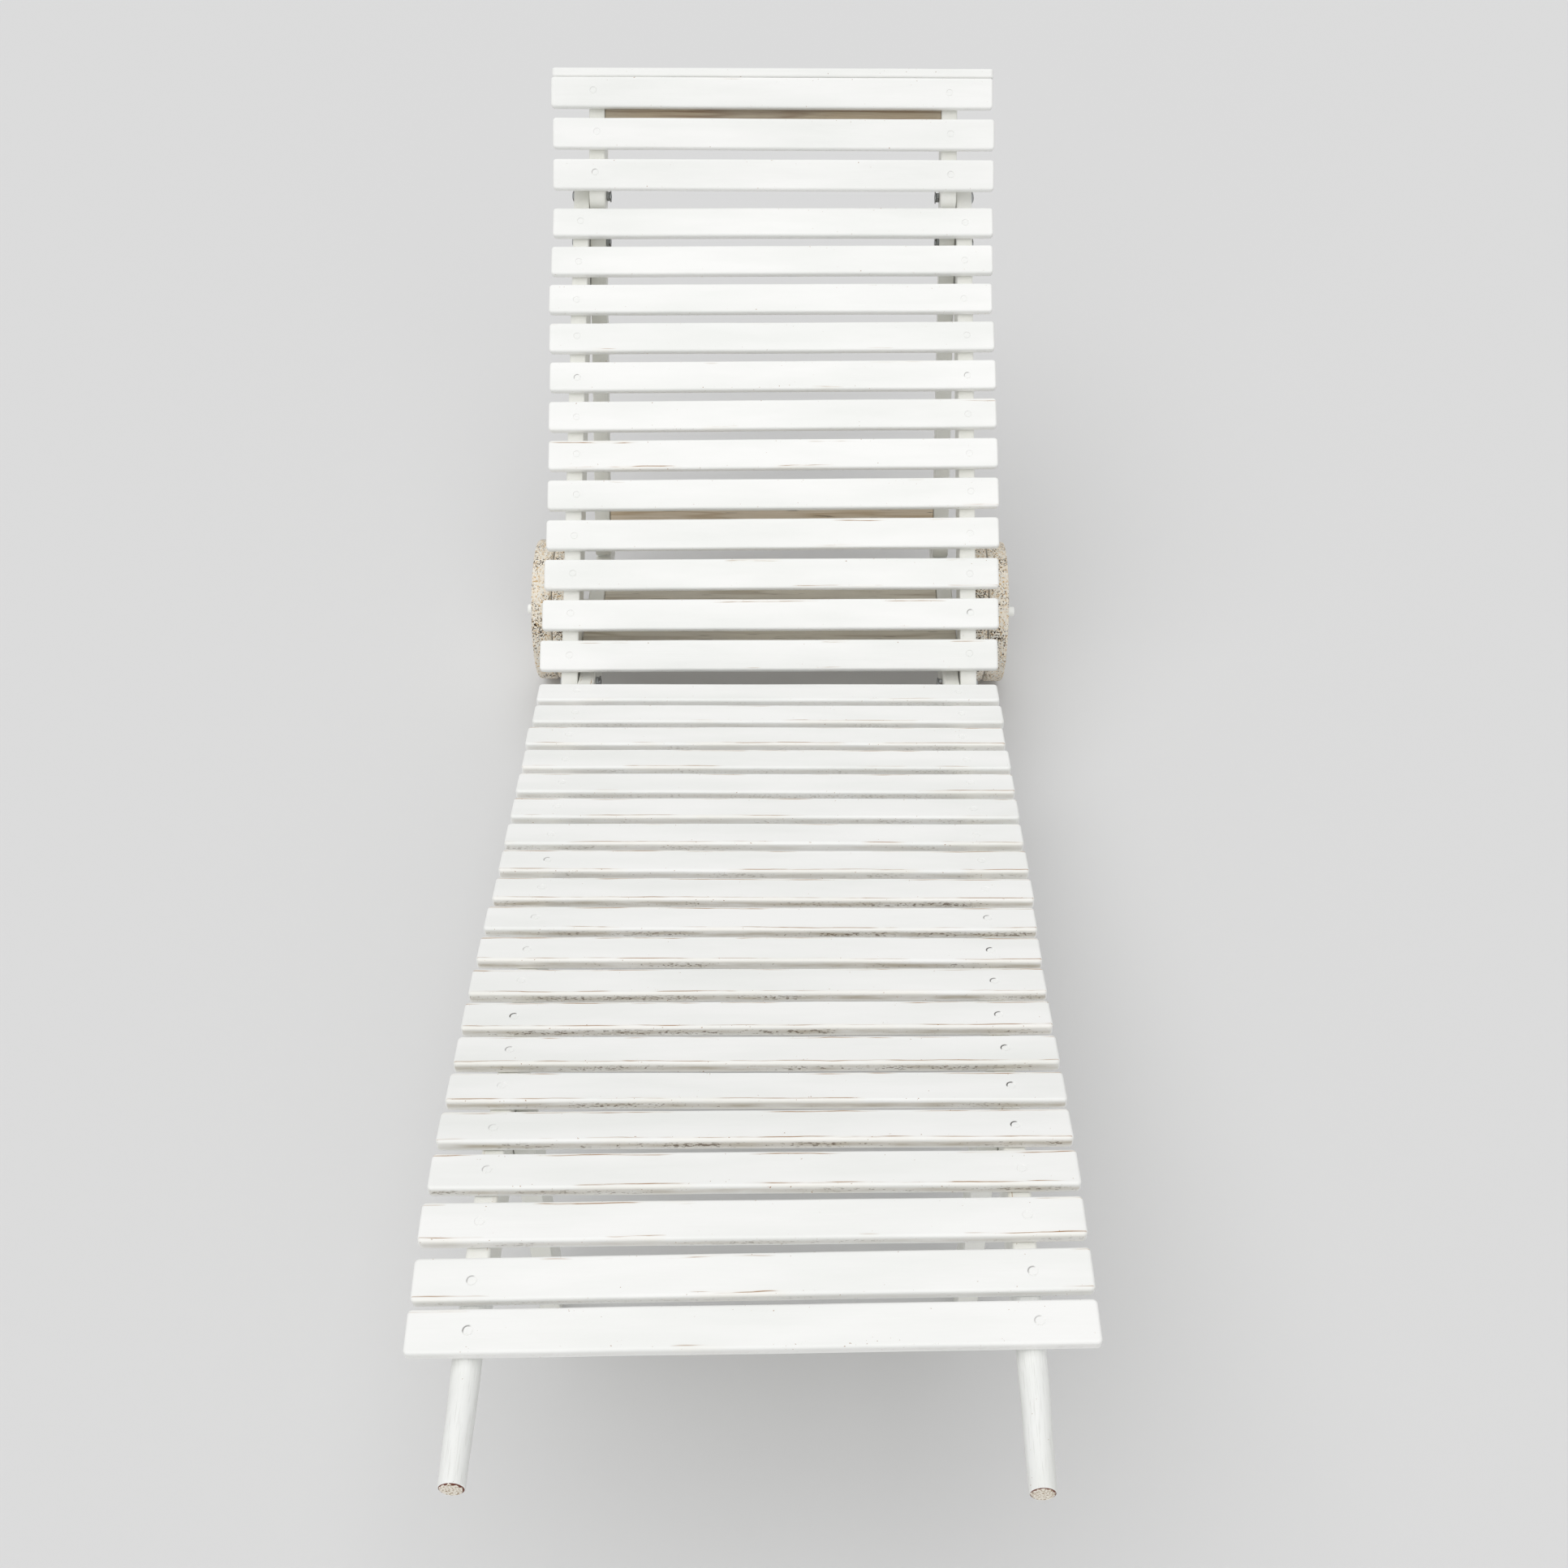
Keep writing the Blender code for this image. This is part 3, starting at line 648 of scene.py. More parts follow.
@dataclass(frozen=True)
class Steel:
    """Steel fittings; the eye gets dull mottled zinc, or white paint with rust at its flaws."""

    name: str
    colour: str
    spot: str
    metallic: float
    roughness: float
    spot_mm: float = 4.0
    spots_from: float = 0.55
    spot_fade: float = 0.12
    spot_roughness: float = 0.25

    def build(self) -> Material:
        """Makes the material.

        Returns:
            The finish as a material.
        """
        material, tree, shader = new_material(self.name)
        place = add_node(tree, "ShaderNodeTexCoord", out="Object")
        spots = add_node(tree, NOISE, {"Vector": place, "Scale": 1000 / self.spot_mm, "Detail": 3.0})
        share = add_node(tree, RANGE, spots, self.spots_from, self.spots_from + self.spot_fade)
        colour = mixed(tree, share, linear(self.colour), self.spot)
        shader.inputs["Metallic"].default_value = self.metallic
        roughest = self.roughness + self.spot_roughness
        rough = add_node(tree, RANGE, share, 0.0, 1.0, self.roughness, roughest)
        dress(tree, shader, colour, rough, spots, 0.4, 0.2)
        return material


class Palette:
    """Every finish of the chair, made once."""

    def __init__(self) -> None:
        """Builds the finishes; each comment says what its finish gives the eye."""
        # The slats: white with a slightly grey cloud, worn, with a film of soiling and painted shade on their
        # narrow sides where the slat's own numbers say so.
        self.paint = WornPaint().build()
        # The rails, seen in the gaps: a little creamier than the slats, with few marks.
        self.rail_paint = WornPaint("aged_white_gloss_paint", "F3F3EE", "E9E9E1").build()
        # The handles: paint rubbed by hands, wrinkled along the wood and chipped.
        self.handle_paint = WornPaint(
            "rubbed_white_gloss_paint", "F3F4F2", "E6E7E3", chips=0.05, streaks=0.22, roughness=0.5
        ).build()
        # The cross-board and the plank: grey-beige pine that was never painted.
        self.tie_board = BareWood("grey_weathered_pine", "E4DECF", "BFB4A0").build()
        # The prop's crossbar: warmer and paler than the boards.
        self.beige_wood = BareWood("pale_weathered_pine", "F0E2CF", "CDB696", greying=0.2).build()
        # The piece under the headrest: a thin grey-brown line in its gap, the darkest wood of all: brown
        # pine, darkened further by painted shade from the slats just above it.
        self.brown_wood_and_shade = BareWood("brown_pine_with_painted_shade", "B3A68F", "85705A", "A8A294", greying=0.5).build()
        # The wheels: the one speckled, cream-coloured part.
        self.wheel = WheelWood().build()
        # The handles' ends: a small dark-rimmed disc that closes each handle.
        self.end_grain = EndGrain().build()
        # The axle and its cap nuts: white dots outside the wheels.
        self.cap = Steel("white_painted_steel", "F5F6F3", "B08B62", 0.0, 0.45, 5.0, 0.70).build()
        # The bolts: grey metal, seen only from below and from the side.
        self.zinc = Steel("dull_hot_dip_zinc", "A9ACAD", "84807A", 1.0, 0.42, 6.0, 0.5).build()


@dataclass(frozen=True)
class BoardFrame:
    """A board's middle, its directions along, across and through it, and its half sizes."""

    middle: np.ndarray
    axes: np.ndarray
    half: np.ndarray

    @classmethod
    def of_node(cls, node: str) -> "BoardFrame":
        """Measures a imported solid.

        Args:
            node: The solid's name.

        Returns:
            The board's frame, longest direction first.
        """
        points = mesh_points(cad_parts[node].data)
        _, vectors = np.linalg.eigh(np.cov((points - points.mean(axis=0)).T))
        axes = vectors.T[::-1]
        spread = points @ axes.T
        low, high = spread.min(axis=0), spread.max(axis=0)
        return cls((low + high) / 2 @ axes, axes, (high - low) / 2)


def mesh_points(mesh: Mesh) -> np.ndarray:
    """The places of a mesh's vertices, one row each."""
    points = np.empty(len(mesh.vertices) * 3, np.float32)
    mesh.vertices.foreach_get("co", points)
    return points.reshape(-1, 3).astype(float)


def store(mesh: Mesh, name: str, values: np.ndarray) -> None:
    """Stores numbers or vectors on a mesh's vertices.

    Args:
        mesh: The mesh.
        name: The attribute's name.
        values: One row or one number for each vertex.
    """
    kind, key = ("FLOAT_VECTOR", "vector") if values.ndim == 2 else ("FLOAT", "value")
    attribute = mesh.attributes.get(name) or mesh.attributes.new(name, kind, "POINT")
    attribute.data.foreach_set(key, values.astype(np.float32).ravel())


def mark_board(mesh: Mesh, board: BoardFrame, seed: float) -> None:
    """Gives a mesh the measures that the wood finishes read, with edges a little worn.

    Args:
        mesh: The mesh, in the chair's frame.
        board: Its board frame.
        seed: A number that sets its pattern apart from its neighbours'.
    """
    points = mesh_points(mesh)
    store(mesh, "board", (points - board.middle) @ board.axes.T)
    store(mesh, "half", np.tile(board.half, (len(points), 1)))
    store(mesh, "seed", np.full(len(points), seed))
    store(mesh, "wear", np.zeros(len(points)))


def new_piece(name: str, mesh: Mesh) -> Object:
    """Links a mesh into the scene as an object at the origin."""
    piece = bpy.data.objects.new(name, mesh)
    bpy.context.scene.collection.objects.link(piece)
    return piece


def evaluated_mesh(piece: Object, name: str) -> Mesh:
    """Turns an object with modifiers into a plain mesh.

    Args:
        piece: The object.
        name: The new mesh's name.

    Returns:
        The evaluated mesh.
    """
    graph = bpy.context.evaluated_depsgraph_get()
    mesh = bpy.data.meshes.new_from_object(piece.evaluated_get(graph))
    mesh.name = name
    return mesh


def finished_mesh(work: bmesh.types.BMesh, name: str) -> Mesh:
    """Turns a bmesh into a new mesh and frees it."""
    mesh = bpy.data.meshes.new(name)
    work.to_mesh(mesh)
    work.free()
    return mesh


def absorb(work: bmesh.types.BMesh, mesh: Mesh) -> None:
    """Adds a mesh to a bmesh and removes the mesh."""
    work.from_mesh(mesh)
    bpy.data.meshes.remove(mesh)


def merged_solid(node: str) -> bmesh.types.BMesh:
    """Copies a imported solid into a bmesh, with its loose triangles joined."""
    work = bmesh.new()
    work.from_mesh(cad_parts[node].data)
    bmesh.ops.remove_doubles(work, verts=work.verts, dist=MERGE_DISTANCE)
    return work


def bake_modifiers(piece: Object) -> None:
    """Makes what the modifiers give the piece's own mesh."""
    mesh = evaluated_mesh(piece, piece.name)
    piece.modifiers.clear()
    piece.data = mesh


def cut_away(piece: Object, tool: Object) -> None:
    """Takes one object's volume out of another's."""
    cut = piece.modifiers.new("cut", "BOOLEAN")
    cut.operation = "DIFFERENCE"
    cut.solver = "EXACT"
    cut.object = tool
    bpy.context.view_layer.update()
    bake_modifiers(piece)


def round_edges(piece: Object) -> None:
    """Weights the normals, so that flat faces stay flat between round-shaded edges."""
    weighted = piece.modifiers.new("rounded_edges", "WEIGHTED_NORMAL")
    weighted.keep_sharp = True


def eased(share: float) -> float:
    """Runs from 0 to 1 with a gentle start and end."""
    return share * share * (3 - 2 * share)


def smooth(mesh: Mesh, angle: float) -> None:
    """Shades a mesh smooth, with edges sharper than an angle in degrees kept."""
    mesh.shade_smooth()
    mesh.set_sharp_from_angle(angle=math.radians(angle))


def hand_over(piece: Object, body: Body, slot: Slot, *nodes: str) -> None:
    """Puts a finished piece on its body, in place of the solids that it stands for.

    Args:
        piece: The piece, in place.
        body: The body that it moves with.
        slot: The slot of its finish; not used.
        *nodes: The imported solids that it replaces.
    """
    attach(piece, body.value)
    if nodes:
        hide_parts(*nodes)
    LOG.info("%s: %d faces on %s", piece.name, len(piece.data.polygons), body.value)


def refined_copy(node: str, name: str, angle: float = 50.0) -> Object:
    """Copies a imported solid, makes its flat faces whole and shades its eased edges round.

    Args:
        node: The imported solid.
        name: The new piece's name.
        angle: Edges sharper than this stay sharp, in degrees.

    Returns:
        The piece.
    """
    work = merged_solid(node)
    bmesh.ops.dissolve_limit(work, angle_limit=FLAT_ANGLE, verts=work.verts, edges=work.edges)
    mesh = finished_mesh(work, name)
    smooth(mesh, angle)
    piece = new_piece(name, mesh)
    round_edges(piece)
    return piece


def turned_mesh(name: str, profile: list[tuple[float, float]], middle: Vector, steps: int) -> Mesh:
    """Turns a profile about a line along X.

    Args:
        name: The mesh's name.
        profile: Points (x, radius) that start and end on the axis.
        middle: Where x 0 of the axis lies.
        steps: Faces round the axis.

    Returns:
        The closed mesh with its faces pointing out.
    """
    work = bmesh.new()
    corners = [work.verts.new(middle + Vector((x, 0, radius))) for x, radius in profile]
    edges = [work.edges.new(pair) for pair in zip(corners, corners[1:])]
    bmesh.ops.spin(work, geom=corners + edges, cent=middle, axis=(1, 0, 0), angle=2 * math.pi, steps=steps)
    bmesh.ops.remove_doubles(work, verts=work.verts, dist=MERGE_DISTANCE)
    bmesh.ops.recalc_face_normals(work, faces=work.faces)
    return finished_mesh(work, name)


@dataclass
class SlatTree:
    """The geometry tree that makes screwed-down slats on a row of points.

    A cube's grid is bent into a slat with round corners in plan and round arrises. A few versions
    of it get their waves, screw dimples and heads a little apart, as by hand, and are set on the
    points.
    """

    grid: tuple[int, int, int] = (27, 15, 9)
    bands: tuple[int, int, int] = (4, 4, 3)
    versions: int = 5
    seed: int = 11
    screw_wander: float = 0.0022
    cutter_steps: int = 20
    cutter_flare: float = 1.35
    head_share: float = 0.9
    head_height_share: float = 0.75
    slot_size: tuple[float, float, float] = (0.012, 0.0010, 0.0005)
    wave_count: float = 6.0
    smooth_below: float = math.radians(38)
    sizes: tuple[str, ...] = (
        "Length", "Width", "Thickness", "Corner", "Arris", "Screw Place", "Screw Radius", "Sink", "Waviness"
    )

    def interface(self, tree: NodeTree) -> None:
        """Gives the tree its named inputs and its output."""
        tree.is_modifier = True
        sockets = tree.interface
        sockets.new_socket("Points", in_out="INPUT", socket_type="NodeSocketGeometry")
        kinds = {**dict.fromkeys(self.sizes, "Float"), "Seed": "Int", "Paint": "Material"}
        for name, kind in kinds.items():
            sockets.new_socket(name, in_out="INPUT", socket_type=f"NodeSocket{kind}")
        sockets.new_socket("Slats", in_out="OUTPUT", socket_type="NodeSocketGeometry")

    def slat(self, tree: NodeTree, size: NodeOutputs) -> tuple[NodeSocket, NodeSocket]:
        """Bends a cube's grid into one slat about the origin.

        Args:
            tree: The tree.
            size: The group input's outputs.

        Returns:
            The slat and the socket of its half size.
        """
        add = partial(add_node, tree)
        counts = {f"Vertices {axis}": number for axis, number in zip("XYZ", self.grid)}
        cube = add(CUBE, {"Size": (2, 2, 2), **counts}, out="Mesh")
        whole = {"X": size["Length"], "Y": size["Width"], "Z": size["Thickness"]}
        whole = add(COMBINE, whole)
        half = add(V_SCALE, {0: whole, "Scale": 0.5})
        bands = add(COMBINE, {"X": size["Corner"], "Y": size["Corner"], "Z": size["Arris"]})
        core = add(V_SUBTRACT, half, bands)
        place = add("GeometryNodeInputPosition")
        away = add(V_ABSOLUTE, place)
        sign = add(V_SIGN, place)
        starts = tuple(1 - 2 * band / (count - 1) for count, band in zip(self.grid, self.bands))
        inner = {6: away, 7: (0, 0, 0), 8: starts, 9: (0, 0, 0), 10: core}
        inner = add(RANGE, inner, out=1, data_type="FLOAT_VECTOR")
        outer = {6: away, 7: starts, 8: (1, 1, 1), 9: (0, 0, 0), 10: bands}
        outer = add(RANGE, outer, out=1, data_type="FLOAT_VECTOR")
        parts = add(SPLIT, outer).node.outputs
        plan = add(COMBINE, {"X": parts["X"], "Y": parts["Y"]})
        reach = add(V_LENGTH, plan, out=1)
        ring = add(MAXIMUM, parts["X"], parts["Y"])
        level = add(SUBTRACT, size["Corner"], size["Arris"])
        past = add(SUBTRACT, ring, level)
        past = add(MAXIMUM, past, 0.0)
        flat = add(MINIMUM, ring, level)
        corner = add(COMBINE, {"X": past, "Y": parts["Z"]})
        slant = add(V_LENGTH, corner, out=1)
        longest = add(MAXIMUM, past, parts["Z"])
        shrink = add(DIVIDE, longest, slant)
        ring_now = add(MULTIPLY_ADD, past, shrink, flat)
        ease = add(DIVIDE, ring_now, reach)
        plan = add(V_SCALE, {0: plan, "Scale": ease})
        up = add(MULTIPLY, parts["Z"], shrink)
        rise = add(COMBINE, {"Z": up})
        bent = add(V_ADD, inner, plan)
        bent = add(V_ADD, bent, rise)
        bent = add(V_MULTIPLY, bent, sign)
        slat = add("GeometryNodeSetPosition", {"Geometry": cube, "Position": bent})
        return slat, half

    def screw(
        self, tree: NodeTree, size: NodeOutputs, top: NodeSocket, turn: float
    ) -> tuple[NodeSocket, NodeSocket]:
        """Makes the cutter of a screw's dimple and its slotted, painted-over head.

        Args:
            tree: The tree.
            size: The group input's outputs.
            top: The height of the slat's upper face.
            turn: The slot's angle.

        Returns:
            The cutter and the head, both on the slat's middle.
        """
        add = partial(add_node, tree)
        floor = add(SUBTRACT, top, size["Sink"])
        wide = add(MULTIPLY, size["Screw Radius"], self.cutter_flare)
        depth = add(MULTIPLY, size["Sink"], 2.0)
        sizes = {"Vertices": self.cutter_steps, "Radius Top": wide, "Radius Bottom": size["Screw Radius"]}
        cone = add(CONE, {**sizes, "Depth": depth}, out="Mesh")
        move = add(COMBINE, {"Z": floor})
        cone = add(TRANSFORM, {"Geometry": cone, "Translation": move})
        inside = add(MULTIPLY, size["Screw Radius"], self.head_share)
        tall = add(MULTIPLY, size["Sink"], self.head_height_share)
        sizes = {"Vertices": self.cutter_steps, "Radius Top": inside, "Radius Bottom": inside, "Depth": tall}
        head = add(CONE, sizes, out="Mesh")
        slot = add(CUBE, {"Size": self.slot_size}, out="Mesh")
        up = add(COMBINE, {"Z": tall})
        slot = add(TRANSFORM, {"Geometry": slot, "Translation": up, "Rotation": (0, 0, turn)})
        head = add(CUT, {"Mesh 1": head, "Mesh 2": slot}, operation="DIFFERENCE")
        return cone, add(TRANSFORM, {"Geometry": head, "Translation": move})

    def version(
        self, tree: NodeTree, size: NodeOutputs, slat: NodeSocket, half: NodeSocket, draw: random.Random
    ) -> NodeSocket:
        """Makes one slat with its own waves and its two screws a little off their marks.

        Args:
            tree: The tree.
            size: The group input's outputs.
            slat: The plain slat.
            half: Its half size.
            draw: The random numbers.

        Returns:
            The finished slat as an instance.
        """
        add = partial(add_node, tree)
        place = add("GeometryNodeInputPosition")
        spot = add(SPLIT, place).node.outputs
        top = add(SPLIT, half).node.outputs["Z"]
        cutters = add(JOIN).node
        parts = add(JOIN).node
        from_screw = []
        for side in Side:
            cutter, head = self.screw(tree, size, top, draw.uniform(0, math.pi))
            off = (draw.uniform(-1, 1) * self.screw_wander, draw.uniform(-1, 1) * self.screw_wander)
            reach = add(MULTIPLY_ADD, size["Screw Place"], side.value, off[0])
            move = add(COMBINE, {"X": reach, "Y": off[1]})
            for part, group in ((cutter, cutters), (head, parts)):
                moved = add(TRANSFORM, {"Geometry": part, "Translation": move})
                tree.links.new(moved, group.inputs[0])
            inward = add(MULTIPLY, reach, side.value)
            away = add(MULTIPLY, spot["X"], side.value)
            away = add(SUBTRACT, away, inward)
            up = add(SUBTRACT, spot["Y"], off[1])
            from_screw.append(add(COMBINE, {"X": away, "Y": up}))
        meshes = {"Mesh 1": slat, "Mesh 2": cutters.outputs[0]}
        tree.links.new(add(CUT, meshes, operation="DIFFERENCE"), parts.inputs[0])
        on_right = add(GREATER, spot["X"], 0.0)
        mirrored = {4: from_screw[0], 5: from_screw[1], 0: on_right}
        screw = add(MIX, mirrored, out=1, data_type="VECTOR")
        made = parts.outputs[0]
        for name, value in (("board", place), ("half", half), ("screw", screw)):
            stored = {"Geometry": made, "Name": name, "Value": value}
            made = add(STORE, stored, data_type="FLOAT_VECTOR", domain="POINT")
        line = add(COMBINE, {"X": spot["X"], "Y": draw.uniform(0, 50)})
        wave = add(NOISE, {"Vector": line, "Scale": self.wave_count, "Detail": 2.0}, out="Color")
        wave = add(V_SUBTRACT, wave, (0.5, 0.5, 0.5))
        wave = add(V_SCALE, {0: wave, "Scale": size["Waviness"]})
        made = add("GeometryNodeSetPosition", {"Geometry": made, "Offset": wave})
        bend = add("GeometryNodeInputMeshEdgeAngle")
        gentle = add(LESS, bend, self.smooth_below)
        smoothed = {"Geometry": made, "Shade Smooth": gentle}
        made = add("GeometryNodeSetShadeSmooth", smoothed, domain="EDGE")
        return add("GeometryNodeGeometryToInstance", made)

    def build(self) -> NodeTree:
        """Makes the tree.

        Returns:
            The geometry tree, to be used as a modifier.
        """
        tree = bpy.data.node_groups.new("screwed_slats", "GeometryNodeTree")
        add = partial(add_node, tree)
        self.interface(tree)
        size = add("NodeGroupInput").node.outputs
        slat, half = self.slat(tree, size)
        draw = random.Random(self.seed)
        kinds = add(JOIN).node
        for _ in range(self.versions):
            tree.links.new(self.version(tree, size, slat, half, draw), kinds.inputs[0])
        named = "GeometryNodeInputNamedAttribute"
        angles = add(named, {"Name": "angles"}, data_type="FLOAT_VECTOR")
        stretch = add(named, {"Name": "stretch"}, data_type="FLOAT_VECTOR")
        limits = {4: 0, 5: self.versions - 1, "Seed": size["Seed"]}
        inputs = {
            "Points": size["Points"],
            "Instance": kinds.outputs[0],
            "Pick Instance": True,
            "Instance Index": add("FunctionNodeRandomValue", limits, out=2, data_type="INT"),
            "Rotation": add("FunctionNodeEulerToRotation", angles),
            "Scale": stretch,
        }
        slats = add("GeometryNodeInstanceOnPoints", inputs)
        slats = add("GeometryNodeRealizeInstances", slats)
        slats = add("GeometryNodeSetMaterial", {"Geometry": slats, "Material": size["Paint"]})
        add("NodeGroupOutput", {"Slats": slats})
        return tree


@dataclass
class SlatDeck:
    """A row of slats on one body.

    A track is a run of (slat number, value) pairs; the slats between two pairs get values between
    theirs. Turns are in degrees and shifts to the right in millimetres. The film of soiling and painted
    shade on the narrow sides runs from 0 to 1, and wear from below 0, which is clean, to 1. Marks give
    a slat's left and right screw a dark rim, a painted shadow crescent with some soiling, and a lowered
    slat lies that many millimetres deeper than its solid.
    """

    name: str
    body: Body
    nodes: list[str]
    screw_place: float
    seed: int
    turns: Track
    wear: Track
    dirt: Track
    shift: Track = ((1, 0.0),)
    stretch: Track = ((1, 1.0),)
    lowered: dict[int, float] = field(default_factory=dict)
    marks: dict[int, tuple[float, float]] = field(default_factory=dict)
    corner: float = 0.0048
    arris: float = 0.0030
    screw_radius: float = 0.0042
    sink: float = 0.0007
    waviness: float = 0.0016
    wander: float = 0.0016
    tilt_wander: float = 0.35
    turn_wander: float = 0.06

    def spread(self, track: Track) -> np.ndarray:
        """Reads a track at every slat."""
        numbers, values = zip(*track)
        return np.interp(np.arange(1, len(self.nodes) + 1), numbers, values)

    def points(self) -> Mesh:
        """Makes the row of points, each with its slat's lie and state.

        Returns:
            A mesh of loose points in the chair's frame.
        """
        draw = random.Random(self.seed)
        places, angles = [], []
        rows = zip(self.nodes, self.spread(self.turns), self.spread(self.shift))
        for number, (node, turn, shift) in enumerate(rows, start=1):
            board = BoardFrame.of_node(node)
            normal = board.axes[2] * (1 if board.axes[2][2] > 0 else -1)
            across = np.array((draw.uniform(-1, 1) * self.wander + shift / 1000, 0, 0))
            places.append(board.middle + across - normal * self.lowered.get(number, 0.0) / 1000)
            tilt = math.atan2(-normal[1], normal[2]) + math.radians(draw.uniform(-1, 1) * self.tilt_wander)
            lie = math.radians(turn + draw.uniform(-1, 1) * self.turn_wander)
            angles.append((Matrix.Rotation(tilt, 3, "X") @ Matrix.Rotation(lie, 3, "Z")).to_euler("XYZ")[:])
        mesh = bpy.data.meshes.new(f"{self.name}_points")
        mesh.from_pydata([tuple(place) for place in places], [], [])
        ones = np.ones(len(places))
        store(mesh, "angles", np.array(angles))
        store(mesh, "stretch", np.stack((self.spread(self.stretch), ones, ones), axis=1))
        marks = [(*self.marks.get(index + 1, (0, 0)), 0) for index in range(len(places))]
        store(mesh, "marks", np.array(marks))
        store(mesh, "wear", self.spread(self.wear))
        # How strongly the film of soiling and painted shade darkens each slat's narrow sides.
        store(mesh, "dirt", self.spread(self.dirt))
        store(mesh, "seed", np.array([draw.uniform(0, 40) for _ in places]))
        return mesh

    def build(self, tree: NodeTree, paint: Material) -> None:
        """Makes the slats and hands them over.

        Args:
            tree: The slats' geometry tree.
            paint: Their finish.
        """
        size = BoardFrame.of_node(self.nodes[0]).half * 2
        values = {
            **dict(zip(("Length", "Width", "Thickness"), map(float, size))),
            "Corner": self.corner,
            "Arris": self.arris,
            "Screw Place": self.screw_place,
            "Screw Radius": self.screw_radius,
            "Sink": self.sink,
            "Waviness": self.waviness,
            "Seed": self.seed,
            "Paint": paint,
        }
        piece = new_piece(self.name, self.points())
        modifier = piece.modifiers.new("slats", "NODES")
        modifier.node_group = tree
        for socket in tree.interface.items_tree:
            if socket.in_out == "INPUT" and socket.name in values:
                modifier[socket.identifier] = values[socket.name]
        bake_modifiers(piece)
        hand_over(piece, self.body, Slot.PAINT, *self.nodes)


@dataclass
class SideRails:
    """The two long rails, each shaped from one board into a round handle at the foot end."""

    thickness: float = 0.022
    depth: float = 0.062
    edge: float = 0.003
    spacing: float = 0.495
    seat_end_height: float = 0.180
    seat_slope: float = math.radians(12.3)
    crest_start: float = 0.820
    crest_length: float = 0.160
    handle_slope: float = math.radians(-3.3)
    handle_radius: float = 0.012
    handle_length: float = 0.116
    handle_taper: float = 0.110
    handle_rounding: float = 0.003
    handle_flare: float = 1.12
    seat_length: float = 1.040
    slat_width: float = 0.042
    base_height: float = 0.140
    step_length: float = 0.073
    tail: float = 0.470
    steps: int = 20
    corner_steps: int = 6
    wobble: float = 0.0004
    sways_per_metre: float = 18.0
    swells_per_metre: tuple[float, float, float] = (90.0, 30.0, 90.0)
    end_insets: tuple[float, ...] = (1.0, 0.62, 0.3, 0.08, 0.0)
    waste_room: float = 1.5
    sharp_from: float = 40.0
    end_finish: int = 1
    handle_finish: int = 2
    rail_wear: float = 0.3
    no_arris: float = 0.04
    no_ends: float = 2.0

    def seat_point(self, along: float) -> tuple[float, float, float]:
        """Follows the rail's top edge from the seat's end towards the foot.

        Args:
            along: The way along the edge.

        Returns:
            The place (y, z) in the side view, and the slope there.
        """
        straight = min(along, self.crest_start)
        y = -straight * math.cos(self.seat_slope)
        z = self.seat_end_height + straight * math.sin(self.seat_slope)
        if along <= self.crest_start:
            return y, z, self.seat_slope
        radius = self.crest_length / (self.seat_slope - self.handle_slope)
        turned = min(along - self.crest_start, self.crest_length) / radius
        slope = self.seat_slope - turned
        y -= radius * (math.sin(self.seat_slope) - math.sin(slope))
        z += radius * (math.cos(slope) - math.cos(self.seat_slope))
        rest = max(along - self.crest_start - self.crest_length, 0)
        return y - rest * math.cos(slope), z + rest * math.sin(slope), slope

    def stations(self) -> list[tuple[float, ...]]:
        """Lists the cross-sections from the handle's end to the tail.

        Returns:
            For each one y, top height, half width, half height, corner radius and roundness.
        """
        radius = self.handle_radius
        half_width, half_depth = self.thickness / 2, self.depth / 2
        full = (half_width, half_depth, self.edge)
        handle_start = self.seat_length + self.slat_width / 2
        handle_end = handle_start + self.handle_length
        rows = []
        for inset in self.end_insets:
            small = radius - self.handle_rounding * inset
            y, z, _ = self.seat_point(handle_end - self.handle_rounding * (1 - math.sqrt(inset)))
            rows.append((y, z - self.handle_rounding * inset, small, small, small, 1.0))
        root = radius * self.handle_flare
        for step in range(1, self.steps):
            grip = self.handle_length - self.handle_rounding
            y, z, _ = self.seat_point(handle_end - self.handle_rounding - grip * step / self.steps)
            wide = radius + (root - radius) * step / self.steps
            rows.append((y, z, wide, wide, wide, 1.0))
        taper_end = handle_start - self.handle_taper
        for step in range(self.steps + 1):
            share = step / self.steps
            y, z, _ = self.seat_point(handle_start + (taper_end - handle_start) * share)
            sizes = [root + (size - root) * eased(share) for size in full]
            rows.append((y, z, *sizes, 1 - eased(share)))
        for step in range(1, self.steps // 2 + 1):
            y, z, _ = self.seat_point(taper_end - (taper_end - self.crest_start) * step * 2 / self.steps)
            rows.append((y, z, *full, 0.0))
        rows.append((0.0, self.seat_end_height, *full, 0.0))
        for step in range(self.steps + 1):
            y = self.slat_width / 2 + self.step_length * step / self.steps
            slope_height = self.seat_end_height - y * math.tan(self.seat_slope)
            height = slope_height + (self.base_height - slope_height) * eased(step / self.steps)
            rows.append((y, height, *full, 0.0))
        rows.append((self.tail - self.edge, self.base_height, *full, 0.0))
        end = (half_width - self.edge, half_depth - self.edge, self.edge)
        rows.append((self.tail, self.base_height - self.edge, *end, 0.0))
        return rows

    def section(self, half_width: float, half_height: float, corner: float) -> list[tuple[float, float]]:
        """Lists the points of a rounded rectangle about its middle."""
        points = []
        for sx, sz, start in ((1, 1, 0), (-1, 1, 90), (-1, -1, 180), (1, -1, 270)):
            middle = (sx * (half_width - corner), sz * (half_height - corner))
            for step in range(self.corner_steps + 1):
                angle = math.radians(start + 90 * step / self.corner_steps)
                points.append((middle[0] + corner * math.cos(angle), middle[1] + corner * math.sin(angle)))
        return points

